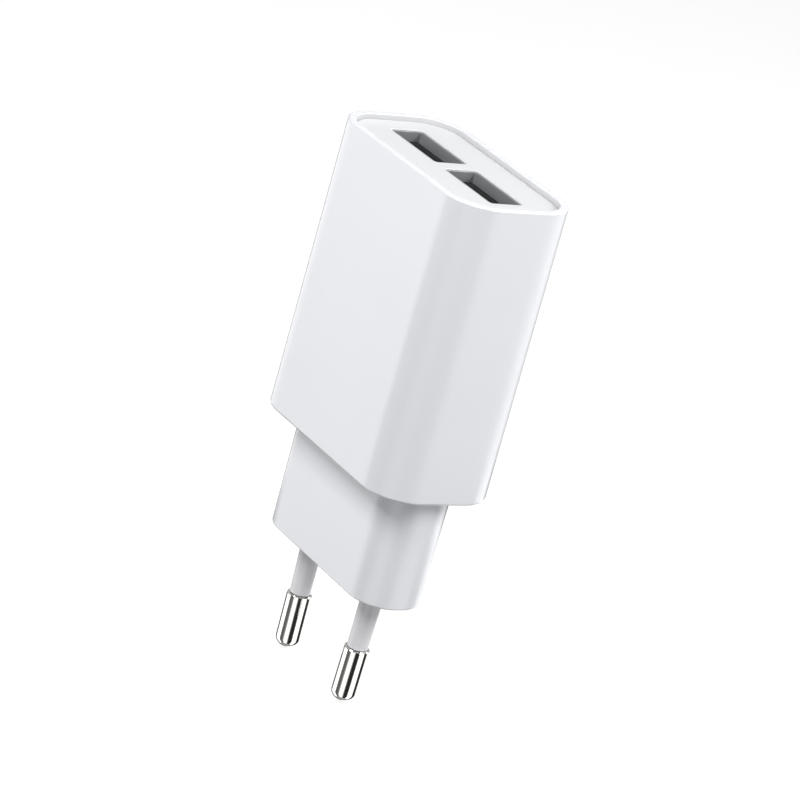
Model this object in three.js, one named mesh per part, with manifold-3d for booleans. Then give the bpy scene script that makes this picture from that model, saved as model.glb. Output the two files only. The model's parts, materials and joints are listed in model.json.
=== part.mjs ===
// Two-port USB wall charger with a flat two-pin plug.
// Millimetres, +Z up. The origin is the centre of the plug's contact face, between the pins.
// +Z runs along the pins from the wall towards the ports, X is the wide direction, Y the thin one.

import * as THREE from 'three';
import { mergeVertices } from 'three/addons/utils/BufferGeometryUtils.js';
import Module from 'manifold-3d';

const wasm = await Module();
wasm.setup();

// ---------------------------------------------------------------- driving dimensions

// Housing body
const BODY_WIDTH = 39.6;
const BODY_DEPTH = 21.5;
const BODY_HEIGHT = 47.2;
const BODY_CORNER = 6.8;
const BODY_DRAFT = 0.17;          // each side draws in by this much from the shoulder to the rim
const BODY_EDGE = 0.5;            // rounding of the shoulder's outer edge
const WALL = 1.8;
const RIM_WIDTH = 1.2;

// Plug section
const PLUG_WIDTH = 33.7;
const PLUG_DEPTH = 12.4;
const PLUG_HEIGHT = 19.0;
const PLUG_CORNER = 5.7;
const PLUG_DRAFT = 0.15;          // each side draws in by this much towards the contact face
const PLUG_WALL = 2.0;

// Pins
const PIN_DIAMETER = 4.0;
const PIN_LENGTH = 19.0;
const PIN_SPACING = 18.6;         // at the contact face
const PIN_LEAN = 0.5;             // how far each tip leans towards the other pin
const PIN_CORE_DIAMETER = 2.4;    // under the sleeve
const PIN_TIP_ROUND = 1.3;
const SLEEVE_DIAMETER = 3.35;
const SLEEVE_LENGTH = 10.0;
const COLLAR_DIAMETER = 5.4;
const COLLAR_THICKNESS = 0.9;
const RIVET_DIAMETER = 3.4;
const RIVET_THICKNESS = 0.6;
const CARRIER_HEIGHT = 6.0;
const STRIP_THICKNESS = 0.4;
const STRIP_WIDTH = 3.0;
const STRIP_PAD = 1.6;            // how far the strip reaches up the board

// Port panel and the USB-A ports
const PANEL_RECESS = 0.85;
const PANEL_THICKNESS = 2.0;
const SNAP_WIDTH = 5.0;
const SNAP_LENGTH = 6.0;
const SNAP_THICKNESS = 1.2;
const SNAP_HOOK = 0.45;
const SNAP_HOOK_HEIGHT = 1.0;
const PORT_GAP = 2.7;             // between the two port shells
const PORT_WIDTH = 12.5;
const PORT_HEIGHT = 5.12;
const SHELL_THICKNESS = 0.3;
const SHELL_CORNER = 0.6;
const PORT_LENGTH = 14.0;
const TONGUE_SIDE_GAP = 0.7;
const TONGUE_THICKNESS = 1.84;
const TONGUE_OFFSET = 0.66;       // from the far long wall of the port
const TONGUE_SETBACK = 1.35;      // from the panel's face
const INSULATOR_BASE = 3.0;
const CONTACT_WIDTH = 1.0;
const CONTACT_THICKNESS = 0.25;
const CONTACT_OFFSETS = [-3.5, -1.0, 1.0, 3.5];
const CONTACT_BUMP = 0.45;        // how far the wiping bump stands out of the leaf
const CONTACT_SETBACK = 1.2;      // from the end of the tongue
const SPRING_WIDTH = 2.2;
const SPRING_LENGTH = 4.5;
const SPRING_SLIT = 0.4;
const SPRING_SETBACK = 7.0;       // from the port's mouth
const SHELL_TAB_WIDTH = 1.2;
const SHELL_TAB_SETBACK = 8.2;    // from the port's mouth

// Circuit board and what it carries
const BOARD_THICKNESS = 1.2;
const RAIL_SIZE = 0.8;
const LEAD_DIAMETER = 0.6;
const LEAD_TAIL = 1.0;            // how far a lead stands out of the solder side
const CAPACITOR_DIAMETER = 8.0;
const CAPACITOR_LENGTH = 11.5;
const CAPACITOR_LEAD_PITCH = 3.5;
const CAPACITOR_STUB = 0.8;
const CORE_WIDTH = 16.0;
const CORE_LENGTH = 13.4;
const CORE_THICKNESS = 4.6;
const CORE_LEG = 4.6;
const CORE_SIDE_LEG = 2.4;
const CORE_BACK = 2.4;
const BOBBIN_WALL = 0.7;
const BOBBIN_RAIL = 2.0;
const BOBBIN_PIN_PITCH = 3.8;
const PRIMARY_THICKNESS = 1.0;
const SECONDARY_THICKNESS = 0.6;
const TAPE_THICKNESS = 0.15;
const FILM_THICKNESS = 0.3;

// Clearances
const FIT = 0.1;                  // a piece seated in another
const LEAD_FIT = 0.15;            // a lead in its hole, a hook in its pocket
const AIR = 0.3;                  // pieces that stay clear of each other

// ---------------------------------------------------------------- derived levels

const SHOULDER_Z = PLUG_HEIGHT;
const RIM_Z = PLUG_HEIGHT + BODY_HEIGHT;
const PANEL_TOP_Z = RIM_Z - PANEL_RECESS;
const PANEL_BOTTOM_Z = PANEL_TOP_Z - PANEL_THICKNESS;
const CAVITY_FLOOR_Z = SHOULDER_Z + WALL;
const CAVITY_WIDTH = BODY_WIDTH - 2 * (BODY_DRAFT + WALL);
const CAVITY_DEPTH = BODY_DEPTH - 2 * (BODY_DRAFT + WALL);
const SEAT_WIDTH = BODY_WIDTH - 2 * (BODY_DRAFT + RIM_WIDTH);
const SEAT_DEPTH = BODY_DEPTH - 2 * (BODY_DRAFT + RIM_WIDTH);
const PLUG_CAVITY_WIDTH = PLUG_WIDTH - 2 * (PLUG_DRAFT + PLUG_WALL);
const PLUG_CAVITY_DEPTH = PLUG_DEPTH - 2 * (PLUG_DRAFT + PLUG_WALL);

const BOARD_FACE_Y = -(PORT_HEIGHT / 2 + SHELL_THICKNESS + FIT);
const BOARD_BACK_Y = BOARD_FACE_Y - BOARD_THICKNESS;
const BOARD_WIDTH = CAVITY_WIDTH - 2 * AIR;
const BOARD_BOTTOM_Z = CAVITY_FLOOR_Z + AIR;
const BOARD_TOP_Z = PANEL_BOTTOM_Z - AIR;
const LEAD_END_Y = BOARD_BACK_Y - LEAD_TAIL;

const PORT_SPACING = PORT_WIDTH + 2 * SHELL_THICKNESS + PORT_GAP;
const TONGUE_WIDTH = PORT_WIDTH - 2 * TONGUE_SIDE_GAP;
const PORT_MOUTH_Z = PANEL_TOP_Z - FIT;
const PORT_REAR_Z = PORT_MOUTH_Z - PORT_LENGTH;
const TONGUE_TOP_Y = PORT_HEIGHT / 2 - TONGUE_OFFSET;
const TONGUE_UNDER_Y = TONGUE_TOP_Y - TONGUE_THICKNESS;
const CONTACT_TAIL_Z = PORT_REAR_Z - AIR - CONTACT_THICKNESS;

const PIN_TILT = Math.atan(PIN_LEAN / PIN_LENGTH);
const COLLAR_Z = PLUG_WALL + FIT;
const CARRIER_BOTTOM_Z = COLLAR_Z;
const CARRIER_TOP_Z = CARRIER_BOTTOM_Z + CARRIER_HEIGHT;

// Places on the board, counted up from its lower end and out from its middle
const COLUMN_X = BOARD_WIDTH / 2 - RAIL_SIZE - CAPACITOR_DIAMETER / 2;
const LOWER_CAPACITOR_Z = BOARD_BOTTOM_Z + STRIP_PAD + CAPACITOR_STUB + LEAD_DIAMETER + FIT;
const UPPER_CAPACITOR_Z = LOWER_CAPACITOR_Z + CAPACITOR_LENGTH + CAPACITOR_STUB + LEAD_DIAMETER + AIR;
const CORE_Z = BOARD_BOTTOM_Z + 19.6;
const FUSE = { x: -2.9, z: BOARD_BOTTOM_Z + 2.0, radius: 1.2, length: 6.2, pitch: 8.6, waist: 0.15 };
const BRIDGE = { x: -4.4, z: BOARD_BOTTOM_Z + 7.0, width: 4.8, height: 2.6, length: 4.2, dimple: 0.8 };
const INDUCTOR = {
  x: 4.9, z: BOARD_BOTTOM_Z + 3.6, diameter: 6.0, height: 7.0, flange: 1.0,
  waist: 2.4, coil: 5.0, turns: 6,
};
const DISC = { x: 3.6, z: BOARD_BOTTOM_Z + 8.6, radius: 3.6, thickness: 2.6, rim: 0.7, pitch: 5.0 };
const CONTROLLER = {
  x: -3.0, z: CORE_Z, width: 3.9, length: 4.9, height: 1.4, pins: 4, pitch: 1.27, span: 6.0,
};
const RECTIFIER = {
  x: 5.2, z: CORE_Z + 2.2, width: 4.4, length: 3.6, height: 2.1, pins: 1, pitch: 12.0, span: 5.4,
};
const CHARGE_ID = {
  x: 0, z: CONTACT_TAIL_Z + 3.2, width: 1.6, length: 2.9, height: 1.0, pins: 3, pitch: 0.95, span: 2.8,
};
const CHIP_RESISTOR = {
  x: -8.2, z: CORE_Z - 3.6, step: 2.4, count: 4, length: 3.2, width: 1.6, height: 0.55,
};
const CHIP_CAPACITOR = {
  x: 4.6, z: CORE_Z - 5.0, step: 2.2, count: 2, length: 2.0, width: 1.25, height: 0.9,
};

const GULL_LEAD = { thickness: 0.2, buried: 0.3, shoulder: 0.35, knee: 0.45 };

// Facets round a lead, a hidden round piece and a round piece that shows
const LEAD_SEGMENTS = 6;
const ROUND_SEGMENTS = 16;
const FINE_SEGMENTS = 24;

// ---------------------------------------------------------------- finishes

const finishes = {
  gloss_white: { color: 0xf2f3f5, roughness: 0.22, metalness: 0 },
  satin_white: { color: 0xeceef0, roughness: 0.35, metalness: 0 },
  sleeve_grey: { color: 0xdedfe1, roughness: 0.4, metalness: 0 },
  nickel: { color: 0xc9c8c2, roughness: 0.18, metalness: 1 },
  steel: { color: 0x9fa1a3, roughness: 0.3, metalness: 1 },
  gold: { color: 0xc79a4a, roughness: 0.3, metalness: 1 },
  copper: { color: 0xb06a3c, roughness: 0.4, metalness: 1 },
  black_plastic: { color: 0x141416, roughness: 0.5, metalness: 0 },
  white_ceramic: { color: 0xd9d4c4, roughness: 0.6, metalness: 0 },
  board_green: { color: 0x2f6b3a, roughness: 0.5, metalness: 0 },
  film: { color: 0xd8c27a, roughness: 0.35, metalness: 0 },
  tape_yellow: { color: 0xd9b23a, roughness: 0.4, metalness: 0 },
  ferrite: { color: 0x3a3a3d, roughness: 0.7, metalness: 0 },
  sleeve_black: { color: 0x1d1f2b, roughness: 0.3, metalness: 0 },
  sleeve_green: { color: 0x1f4a3a, roughness: 0.3, metalness: 0 },
  blue_epoxy: { color: 0x2f63a8, roughness: 0.35, metalness: 0 },
};

const group = new THREE.Group();

function finish(name) {
  return new THREE.MeshStandardMaterial({ name, ...finishes[name] });
}

function place(name, finishName, geometry) {
  const mesh = new THREE.Mesh(geometry, finish(finishName));
  mesh.name = name;
  group.add(mesh);
}

// ---------------------------------------------------------------- joining and cutting

function toSolid(geometry) {
  const bare = geometry.clone();
  bare.deleteAttribute('normal');
  bare.deleteAttribute('uv');
  const welded = mergeVertices(bare, 1e-4);
  const corners = welded.index.array;
  const kept = [];
  for (let i = 0; i < corners.length; i += 3) {
    const [a, b, c] = [corners[i], corners[i + 1], corners[i + 2]];
    if (a !== b && b !== c && c !== a) {
      kept.push(a, b, c);
    }
  }
  return new wasm.Manifold(new wasm.Mesh({
    numProp: 3,
    vertProperties: new Float32Array(welded.attributes.position.array),
    triVerts: new Uint32Array(kept),
  }));
}

function toGeometry(solid) {
  const mesh = solid.getMesh();
  const geometry = new THREE.BufferGeometry();
  geometry.setAttribute('position', new THREE.BufferAttribute(mesh.vertProperties, 3));
  geometry.setIndex(new THREE.BufferAttribute(mesh.triVerts, 1));
  geometry.computeVertexNormals();
  return geometry;
}

function join(...geometries) {
  return toGeometry(geometries.map(toSolid).reduce((whole, piece) => whole.add(piece)));
}

function cut(geometry, ...cutters) {
  return toGeometry(cutters.map(toSolid).reduce((whole, piece) => whole.subtract(piece), toSolid(geometry)));
}

// ---------------------------------------------------------------- basic shapes

function block(x0, x1, y0, y1, z0, z1) {
  const geometry = new THREE.BoxGeometry(x1 - x0, y1 - y0, z1 - z0);
  return geometry.translate((x0 + x1) / 2, (y0 + y1) / 2, (z0 + z1) / 2);
}

function roundedRectangle(width, depth, corner) {
  const x = width / 2 - corner;
  const y = depth / 2 - corner;
  const quarter = Math.PI / 2;
  const shape = new THREE.Shape();
  shape.absarc(x, y, corner, 0, quarter);
  shape.absarc(-x, y, corner, quarter, 2 * quarter);
  shape.absarc(-x, -y, corner, 2 * quarter, 3 * quarter);
  shape.absarc(x, -y, corner, 3 * quarter, 4 * quarter);
  shape.closePath();
  return shape;
}

// A straight-sided prism standing on z0
function prism(shape, z0, z1, curveSegments = 6) {
  const geometry = new THREE.ExtrudeGeometry(shape, { depth: z1 - z0, bevelEnabled: false, curveSegments });
  return geometry.translate(0, 0, z0);
}

// A prism whose end edges are rounded by edge
function softPrism(width, depth, corner, z0, z1, edge, curveSegments) {
  const shape = roundedRectangle(width, depth, corner);
  const geometry = new THREE.ExtrudeGeometry(shape, {
    depth: z1 - z0 - 2 * edge,
    bevelThickness: edge,
    bevelSize: edge,
    bevelOffset: -edge,
    bevelSegments: 2,
    curveSegments,
  });
  return geometry.translate(0, 0, z0 + edge);
}

// A shape drawn in X and Z, from y0 to y1
function alongY(shape, y0, y1, curveSegments = 6) {
  const geometry = new THREE.ExtrudeGeometry(shape, { depth: y1 - y0, bevelEnabled: false, curveSegments });
  return geometry.rotateX(Math.PI / 2).translate(0, y1, 0);
}

// A shape drawn in Y and Z, from x0 to x1
function alongX(shape, x0, x1) {
  const geometry = new THREE.ExtrudeGeometry(shape, { depth: x1 - x0, bevelEnabled: false });
  const turn = new THREE.Matrix4().makeBasis(
    new THREE.Vector3(0, 1, 0),
    new THREE.Vector3(0, 0, 1),
    new THREE.Vector3(1, 0, 0),
  );
  return geometry.applyMatrix4(turn).translate(x0, 0, 0);
}

// Draws every side in linearly, from nothing at level z0 to inset at level z1
function drawIn(geometry, width, depth, z0, z1, inset) {
  const position = geometry.attributes.position;
  for (let i = 0; i < position.count; i += 1) {
    const amount = inset * (position.getZ(i) - z0) / (z1 - z0);
    position.setX(i, position.getX(i) * (1 - 2 * amount / width));
    position.setY(i, position.getY(i) * (1 - 2 * amount / depth));
  }
  return geometry;
}

// A turned piece about Z from [radius, z] pairs, listed upwards
function turned(profile, segments = ROUND_SEGMENTS) {
  const points = profile.map(([radius, z]) => new THREE.Vector2(radius, z));
  return new THREE.LatheGeometry(points, segments).rotateX(Math.PI / 2);
}

function rod(diameter, z0, z1, segments = LEAD_SEGMENTS) {
  return turned([[0, z0], [diameter / 2, z0], [diameter / 2, z1], [0, z1]], segments);
}

function rodAlongY(diameter, x, y0, y1, z, segments = LEAD_SEGMENTS) {
  const geometry = new THREE.CylinderGeometry(diameter / 2, diameter / 2, y1 - y0, segments);
  return geometry.translate(x, (y0 + y1) / 2, z);
}

function rodAlongX(diameter, x0, x1, y, z, segments = LEAD_SEGMENTS) {
  const geometry = new THREE.CylinderGeometry(diameter / 2, diameter / 2, x1 - x0, segments);
  return geometry.rotateZ(Math.PI / 2).translate((x0 + x1) / 2, y, z);
}

// The outline of a bent strip: its centre line widened by half its thickness to each side
function bentStrip(line, thickness) {
  const points = line.map(([u, v]) => new THREE.Vector2(u, v));
  const sides = [[], []];
  points.forEach((point, i) => {
    const into = points[i].clone().sub(points[Math.max(i - 1, 0)]).normalize();
    const out = points[Math.min(i + 1, points.length - 1)].clone().sub(point).normalize();
    const along = into.clone().add(out).normalize();
    const across = new THREE.Vector2(-along.y, along.x);
    const turn = i > 0 && i < points.length - 1 ? into.dot(along) : 1;
    const offset = across.multiplyScalar(thickness / 2 / turn);
    sides[0].push(point.clone().add(offset));
    sides[1].unshift(point.clone().sub(offset));
  });
  const outline = sides.flat();
  return new THREE.Shape(THREE.ShapeUtils.area(outline) > 0 ? outline : outline.reverse());
}

// ---------------------------------------------------------------- pins

// Turns a piece built about Z at the origin into the left (-1) or right (+1) pin's place
function atPin(geometry, side) {
  return geometry.rotateY(side * PIN_TILT).translate(side * PIN_SPACING / 2, 0, 0);
}

function pinShape() {
  const radius = PIN_DIAMETER / 2;
  const flat = radius - PIN_TIP_ROUND;
  const core = PIN_CORE_DIAMETER / 2;
  const headZ = CARRIER_TOP_Z + STRIP_THICKNESS + 2 * AIR;
  const profile = [[0, -PIN_LENGTH]];
  for (let i = 0; i <= 4; i += 1) {
    const angle = i / 4 * Math.PI / 2;
    profile.push([
      flat + PIN_TIP_ROUND * Math.sin(angle),
      -PIN_LENGTH + PIN_TIP_ROUND * (1 - Math.cos(angle)),
    ]);
  }
  profile.push([radius, -SLEEVE_LENGTH - FIT]);
  profile.push([core, -SLEEVE_LENGTH - FIT]);
  profile.push([core, headZ]);
  profile.push([RIVET_DIAMETER / 2, headZ]);
  profile.push([RIVET_DIAMETER / 2, headZ + RIVET_THICKNESS]);
  profile.push([0, headZ + RIVET_THICKNESS]);
  return turned(profile, FINE_SEGMENTS);
}

// A tube on the pin's core, with a collar that sits behind the plug's face
function sleeveShape() {
  const bore = PIN_CORE_DIAMETER / 2 + FIT;
  const outside = SLEEVE_DIAMETER / 2;
  const collarTop = COLLAR_Z + COLLAR_THICKNESS;
  return turned([
    [bore, -SLEEVE_LENGTH],
    [outside, -SLEEVE_LENGTH],
    [outside, COLLAR_Z],
    [COLLAR_DIAMETER / 2, COLLAR_Z],
    [COLLAR_DIAMETER / 2, collarTop],
    [bore, collarTop],
    [bore, -SLEEVE_LENGTH],
  ], FINE_SEGMENTS);
}

function sleeveHole() {
  return rod(SLEEVE_DIAMETER + 2 * LEAD_FIT, -AIR, PLUG_WALL + AIR, FINE_SEGMENTS);
}

// The insert that holds both collars down, a close fit in the plug's hollow
function pinCarrier() {
  const outline = roundedRectangle(
    PLUG_CAVITY_WIDTH - 2 * AIR,
    PLUG_CAVITY_DEPTH - 2 * AIR,
    PLUG_CORNER - PLUG_WALL - AIR,
  );
  const holes = [-1, 1].flatMap((side) => [
    atPin(rod(PIN_CORE_DIAMETER + 4 * LEAD_FIT, COLLAR_Z - AIR, CARRIER_TOP_Z + AIR, FINE_SEGMENTS), side),
    atPin(rod(COLLAR_DIAMETER + 4 * LEAD_FIT, 0, COLLAR_Z + COLLAR_THICKNESS + AIR, FINE_SEGMENTS), side),
  ]);
  return cut(prism(outline, CARRIER_BOTTOM_Z, CARRIER_TOP_Z), ...holes);
}

// A strip riveted under the pin's head, bent up to the board's lower end
function mainsStrip(side) {
  const footZ = CARRIER_TOP_Z + AIR + STRIP_THICKNESS / 2;
  const padY = BOARD_FACE_Y + FIT + STRIP_THICKNESS / 2;
  const line = [
    [RIVET_DIAMETER / 2, footZ],
    [padY + STRIP_THICKNESS, footZ],
    [padY, footZ + STRIP_THICKNESS],
    [padY, BOARD_BOTTOM_Z + STRIP_PAD],
  ];
  const x = side * (PIN_SPACING / 2 + footZ * Math.tan(PIN_TILT));
  const strip = alongX(bentStrip(line, STRIP_THICKNESS), x - STRIP_WIDTH / 2, x + STRIP_WIDTH / 2);
  const hole = rod(PIN_CORE_DIAMETER + 4 * LEAD_FIT, -PIN_LENGTH, CARRIER_TOP_Z * 2, FINE_SEGMENTS);
  return cut(join(strip, stripEyelet(x, footZ)), atPin(hole, side));
}

// The round end of the strip, under the rivet
function stripEyelet(x, z) {
  const half = STRIP_THICKNESS / 2;
  return rod(RIVET_DIAMETER + 4 * AIR, z - half, z + half, FINE_SEGMENTS).translate(x, 0, 0);
}

// ---------------------------------------------------------------- housing and port panel

function housing() {
  const outerBody = drawIn(
    softPrism(BODY_WIDTH, BODY_DEPTH, BODY_CORNER, SHOULDER_Z, RIM_Z + BODY_EDGE, BODY_EDGE, 8),
    BODY_WIDTH, BODY_DEPTH, SHOULDER_Z, RIM_Z, BODY_DRAFT,
  );
  const outerPlug = drawIn(
    prism(roundedRectangle(PLUG_WIDTH, PLUG_DEPTH, PLUG_CORNER), 0, SHOULDER_Z + WALL / 2, 8),
    PLUG_WIDTH, PLUG_DEPTH, SHOULDER_Z, 0, PLUG_DRAFT,
  );
  const aboveRim = block(-BODY_WIDTH, BODY_WIDTH, -BODY_DEPTH, BODY_DEPTH, RIM_Z, RIM_Z + BODY_HEIGHT);
  const bodyHollow = prism(
    roundedRectangle(CAVITY_WIDTH, CAVITY_DEPTH, BODY_CORNER - WALL), CAVITY_FLOOR_Z, RIM_Z, 8,
  );
  const plugHollow = prism(
    roundedRectangle(PLUG_CAVITY_WIDTH, PLUG_CAVITY_DEPTH, PLUG_CORNER - PLUG_WALL), PLUG_WALL, RIM_Z, 6,
  );
  const panelSeat = prism(
    roundedRectangle(SEAT_WIDTH, SEAT_DEPTH, BODY_CORNER - RIM_WIDTH), PANEL_BOTTOM_Z, RIM_Z + WALL, 8,
  );
  const holes = [-1, 1].map((side) => atPin(sleeveHole(), side));
  const hooks = [-1, 1].map((side) => hookPocket(side));
  const hollows = [aboveRim, bodyHollow, plugHollow, panelSeat];
  const shell = cut(join(outerBody, outerPlug), ...hollows, ...holes, ...hooks);
  return join(shell, ...boardRails());
}

// Rails on the end walls that hold the board's long edges
function boardRails() {
  const top = PORT_REAR_Z;
  return [-1, 1].flatMap((side) => {
    const wallX = CAVITY_WIDTH / 2 + FIT;
    const edgeX = BOARD_WIDTH / 2 - RAIL_SIZE / 2;
    const x = side > 0 ? [edgeX, wallX] : [-wallX, -edgeX];
    return [
      block(...x, BOARD_FACE_Y + LEAD_FIT, BOARD_FACE_Y + LEAD_FIT + RAIL_SIZE, CAVITY_FLOOR_Z - FIT, top),
      block(...x, BOARD_BACK_Y - LEAD_FIT - RAIL_SIZE, BOARD_BACK_Y - LEAD_FIT, CAVITY_FLOOR_Z - FIT, top),
    ];
  });
}

function hookPocket(side) {
  const depth = SNAP_HOOK + LEAD_FIT - FIT;
  const z = PANEL_BOTTOM_Z - SNAP_LENGTH;
  const inner = CAVITY_WIDTH / 2 - AIR;
  const outer = CAVITY_WIDTH / 2 + depth;
  const x = side > 0 ? [inner, outer] : [-outer, -inner];
  const half = SNAP_WIDTH / 2 + AIR;
  return block(...x, -half, half, z - LEAD_FIT, z + 2 * SNAP_HOOK_HEIGHT + LEAD_FIT);
}

// A leg with a hook at its end, drawn in X and Z
function snapLeg(side) {
  const outer = CAVITY_WIDTH / 2 - FIT;
  const inner = outer - SNAP_THICKNESS;
  const z = PANEL_BOTTOM_Z - SNAP_LENGTH;
  const hook = outer + SNAP_HOOK;
  const outline = [
    [inner, PANEL_BOTTOM_Z + FIT],
    [inner, z],
    [outer - SNAP_HOOK, z],
    [hook, z + SNAP_HOOK_HEIGHT],
    [hook, z + 2 * SNAP_HOOK_HEIGHT - SNAP_HOOK],
    [outer, z + 2 * SNAP_HOOK_HEIGHT],
    [outer, PANEL_BOTTOM_Z + FIT],
  ];
  const points = outline.map(([x, level]) => new THREE.Vector2(side * x, level));
  return alongY(new THREE.Shape(side > 0 ? points : points.reverse()), -SNAP_WIDTH / 2, SNAP_WIDTH / 2);
}

function portPanel() {
  const outline = roundedRectangle(SEAT_WIDTH - 2 * FIT, SEAT_DEPTH - 2 * FIT, BODY_CORNER - RIM_WIDTH - FIT);
  const cutOuts = [-1, 1].map((side) => prism(
    roundedRectangle(
      PORT_WIDTH + 2 * (SHELL_THICKNESS + FIT),
      PORT_HEIGHT + 2 * (SHELL_THICKNESS + FIT),
      SHELL_CORNER + FIT,
    ),
    PANEL_BOTTOM_Z - AIR, PANEL_TOP_Z + AIR, 3,
  ).translate(side * PORT_SPACING / 2, 0, 0));
  const plate = cut(prism(outline, PANEL_BOTTOM_Z, PANEL_TOP_Z, 8), ...cutOuts);
  return join(plate, snapLeg(-1), snapLeg(1));
}

// ---------------------------------------------------------------- USB ports

function usbShell(x) {
  const outer = roundedRectangle(
    PORT_WIDTH + 2 * SHELL_THICKNESS, PORT_HEIGHT + 2 * SHELL_THICKNESS, SHELL_CORNER,
  );
  outer.holes.push(roundedRectangle(PORT_WIDTH, PORT_HEIGHT, SHELL_CORNER - SHELL_THICKNESS));
  const tube = prism(outer, PORT_REAR_Z, PORT_MOUTH_Z, 3);
  const tabs = [-1, 1].map((side) => {
    const edge = PORT_WIDTH / 2;
    const span = side > 0 ? [edge, edge + SHELL_THICKNESS] : [-edge - SHELL_THICKNESS, -edge];
    const z = PORT_MOUTH_Z - SHELL_TAB_SETBACK;
    return block(...span, LEAD_END_Y, 0, z - SHELL_TAB_WIDTH / 2, z + SHELL_TAB_WIDTH / 2);
  });
  return join(cut(tube, ...springWindows()), ...tabs).translate(x, 0, 0);
}

// Three-sided windows around the spring tongues in the shell's long walls
function springWindows() {
  const slit = SPRING_SLIT;
  const width = SPRING_WIDTH;
  const z0 = PORT_MOUTH_Z - SPRING_SETBACK;
  const z1 = z0 + SPRING_LENGTH;
  return [-1, 1].flatMap((side) => [-1, 1].flatMap((wall) => {
    const x = side * PORT_WIDTH / 4;
    const y = wall * (PORT_HEIGHT + SHELL_THICKNESS) / 2;
    const reach = SHELL_THICKNESS;
    return [
      block(x - width / 2 - slit, x - width / 2, y - reach, y + reach, z0, z1),
      block(x + width / 2, x + width / 2 + slit, y - reach, y + reach, z0, z1),
      block(x - width / 2, x + width / 2, y - reach, y + reach, z1 - slit, z1),
    ];
  }));
}

function usbInsulator(x) {
  const baseTop = PORT_REAR_Z + INSULATOR_BASE;
  const halfWidth = PORT_WIDTH / 2 - FIT;
  const halfHeight = PORT_HEIGHT / 2 - FIT;
  const tongueHalf = TONGUE_WIDTH / 2;
  const tipZ = PANEL_TOP_Z - TONGUE_SETBACK;
  const base = softPrism(2 * halfWidth, 2 * halfHeight, SHELL_CORNER, PORT_REAR_Z, baseTop, FIT, 2);
  const chamfer = TONGUE_THICKNESS / 4;
  const side = [
    [TONGUE_UNDER_Y, baseTop - FIT],
    [TONGUE_TOP_Y, baseTop - FIT],
    [TONGUE_TOP_Y, tipZ - chamfer],
    [TONGUE_TOP_Y - chamfer, tipZ],
    [TONGUE_UNDER_Y + chamfer, tipZ],
    [TONGUE_UNDER_Y, tipZ - chamfer],
  ];
  const profile = new THREE.Shape(side.map(([y, z]) => new THREE.Vector2(y, z)));
  const tongue = alongX(profile, -tongueHalf, tongueHalf);
  const slots = CONTACT_OFFSETS.map((offset) => block(
    offset - CONTACT_WIDTH / 2 - FIT, offset + CONTACT_WIDTH / 2 + FIT,
    TONGUE_UNDER_Y - CONTACT_THICKNESS - 3 * FIT, TONGUE_UNDER_Y,
    PORT_REAR_Z - AIR, baseTop + AIR,
  ));
  return cut(join(base, tongue), ...slots).translate(x, 0, 0);
}

// A leaf along the underside of the tongue, through the base and down into the board
function usbContact(x) {
  const leafY = TONGUE_UNDER_Y - FIT - CONTACT_THICKNESS / 2;
  const tipZ = PANEL_TOP_Z - TONGUE_SETBACK - CONTACT_SETBACK;
  const line = [
    [leafY - CONTACT_BUMP / 3, tipZ],
    [leafY - CONTACT_BUMP, tipZ - CONTACT_WIDTH],
    [leafY - CONTACT_BUMP, tipZ - 2 * CONTACT_WIDTH],
    [leafY, tipZ - 4 * CONTACT_WIDTH],
    [leafY, CONTACT_TAIL_Z],
    [LEAD_END_Y, CONTACT_TAIL_Z],
  ];
  return alongX(bentStrip(line, CONTACT_THICKNESS), x - CONTACT_WIDTH / 2, x + CONTACT_WIDTH / 2);
}

// ---------------------------------------------------------------- through-hole parts

const leadHoles = [];

// A round lead from height y down through the board, which gets a hole for it
function lead(x, y, z) {
  leadHoles.push(rodAlongY(LEAD_DIAMETER + 2 * LEAD_FIT, x, BOARD_BACK_Y - AIR, BOARD_FACE_Y + AIR, z));
  return rodAlongY(LEAD_DIAMETER, x, LEAD_END_Y, y, z);
}

// A can lying on the board with its leads bent down at its lower end
function electrolytic(x, z) {
  const radius = CAPACITOR_DIAMETER / 2;
  const edge = 0.4;
  const groove = 1.6;
  const y = BOARD_FACE_Y + FIT + radius;
  const can = turned([
    [0, 0],
    [radius - edge, 0],
    [radius, edge],
    [radius, groove],
    [radius - edge, groove + edge],
    [radius, groove + 2 * edge],
    [radius, CAPACITOR_LENGTH - edge],
    [radius - edge, CAPACITOR_LENGTH],
    [0, CAPACITOR_LENGTH],
  ]).translate(x, y, z);
  const leads = [-1, 1].flatMap((side) => {
    const leadX = x + side * CAPACITOR_LEAD_PITCH / 2;
    const bendZ = z - CAPACITOR_STUB;
    return [
      rod(LEAD_DIAMETER, bendZ - LEAD_DIAMETER / 2, z + edge).translate(leadX, y, 0),
      lead(leadX, y, bendZ),
    ];
  });
  return join(can, ...leads);
}

// An axial resistor across the board with both leads bent down
function fuseResistor({ x, z, radius, length, pitch, waist }) {
  const y = BOARD_FACE_Y + AIR + radius;
  const body = turned([
    [0, 0],
    [radius - waist, 0],
    [radius, waist],
    [radius, length / 4],
    [radius - waist, length / 4 + waist],
    [radius - waist, 3 * length / 4 - waist],
    [radius, 3 * length / 4],
    [radius, length - waist],
    [radius - waist, length],
    [0, length],
  ]).rotateY(Math.PI / 2).translate(x - length / 2, y, z);
  const half = LEAD_DIAMETER / 2;
  return join(
    body,
    rodAlongX(LEAD_DIAMETER, x - pitch / 2 - half, x + pitch / 2 + half, y, z),
    lead(x - pitch / 2, y, z),
    lead(x + pitch / 2, y, z),
  );
}

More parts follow.
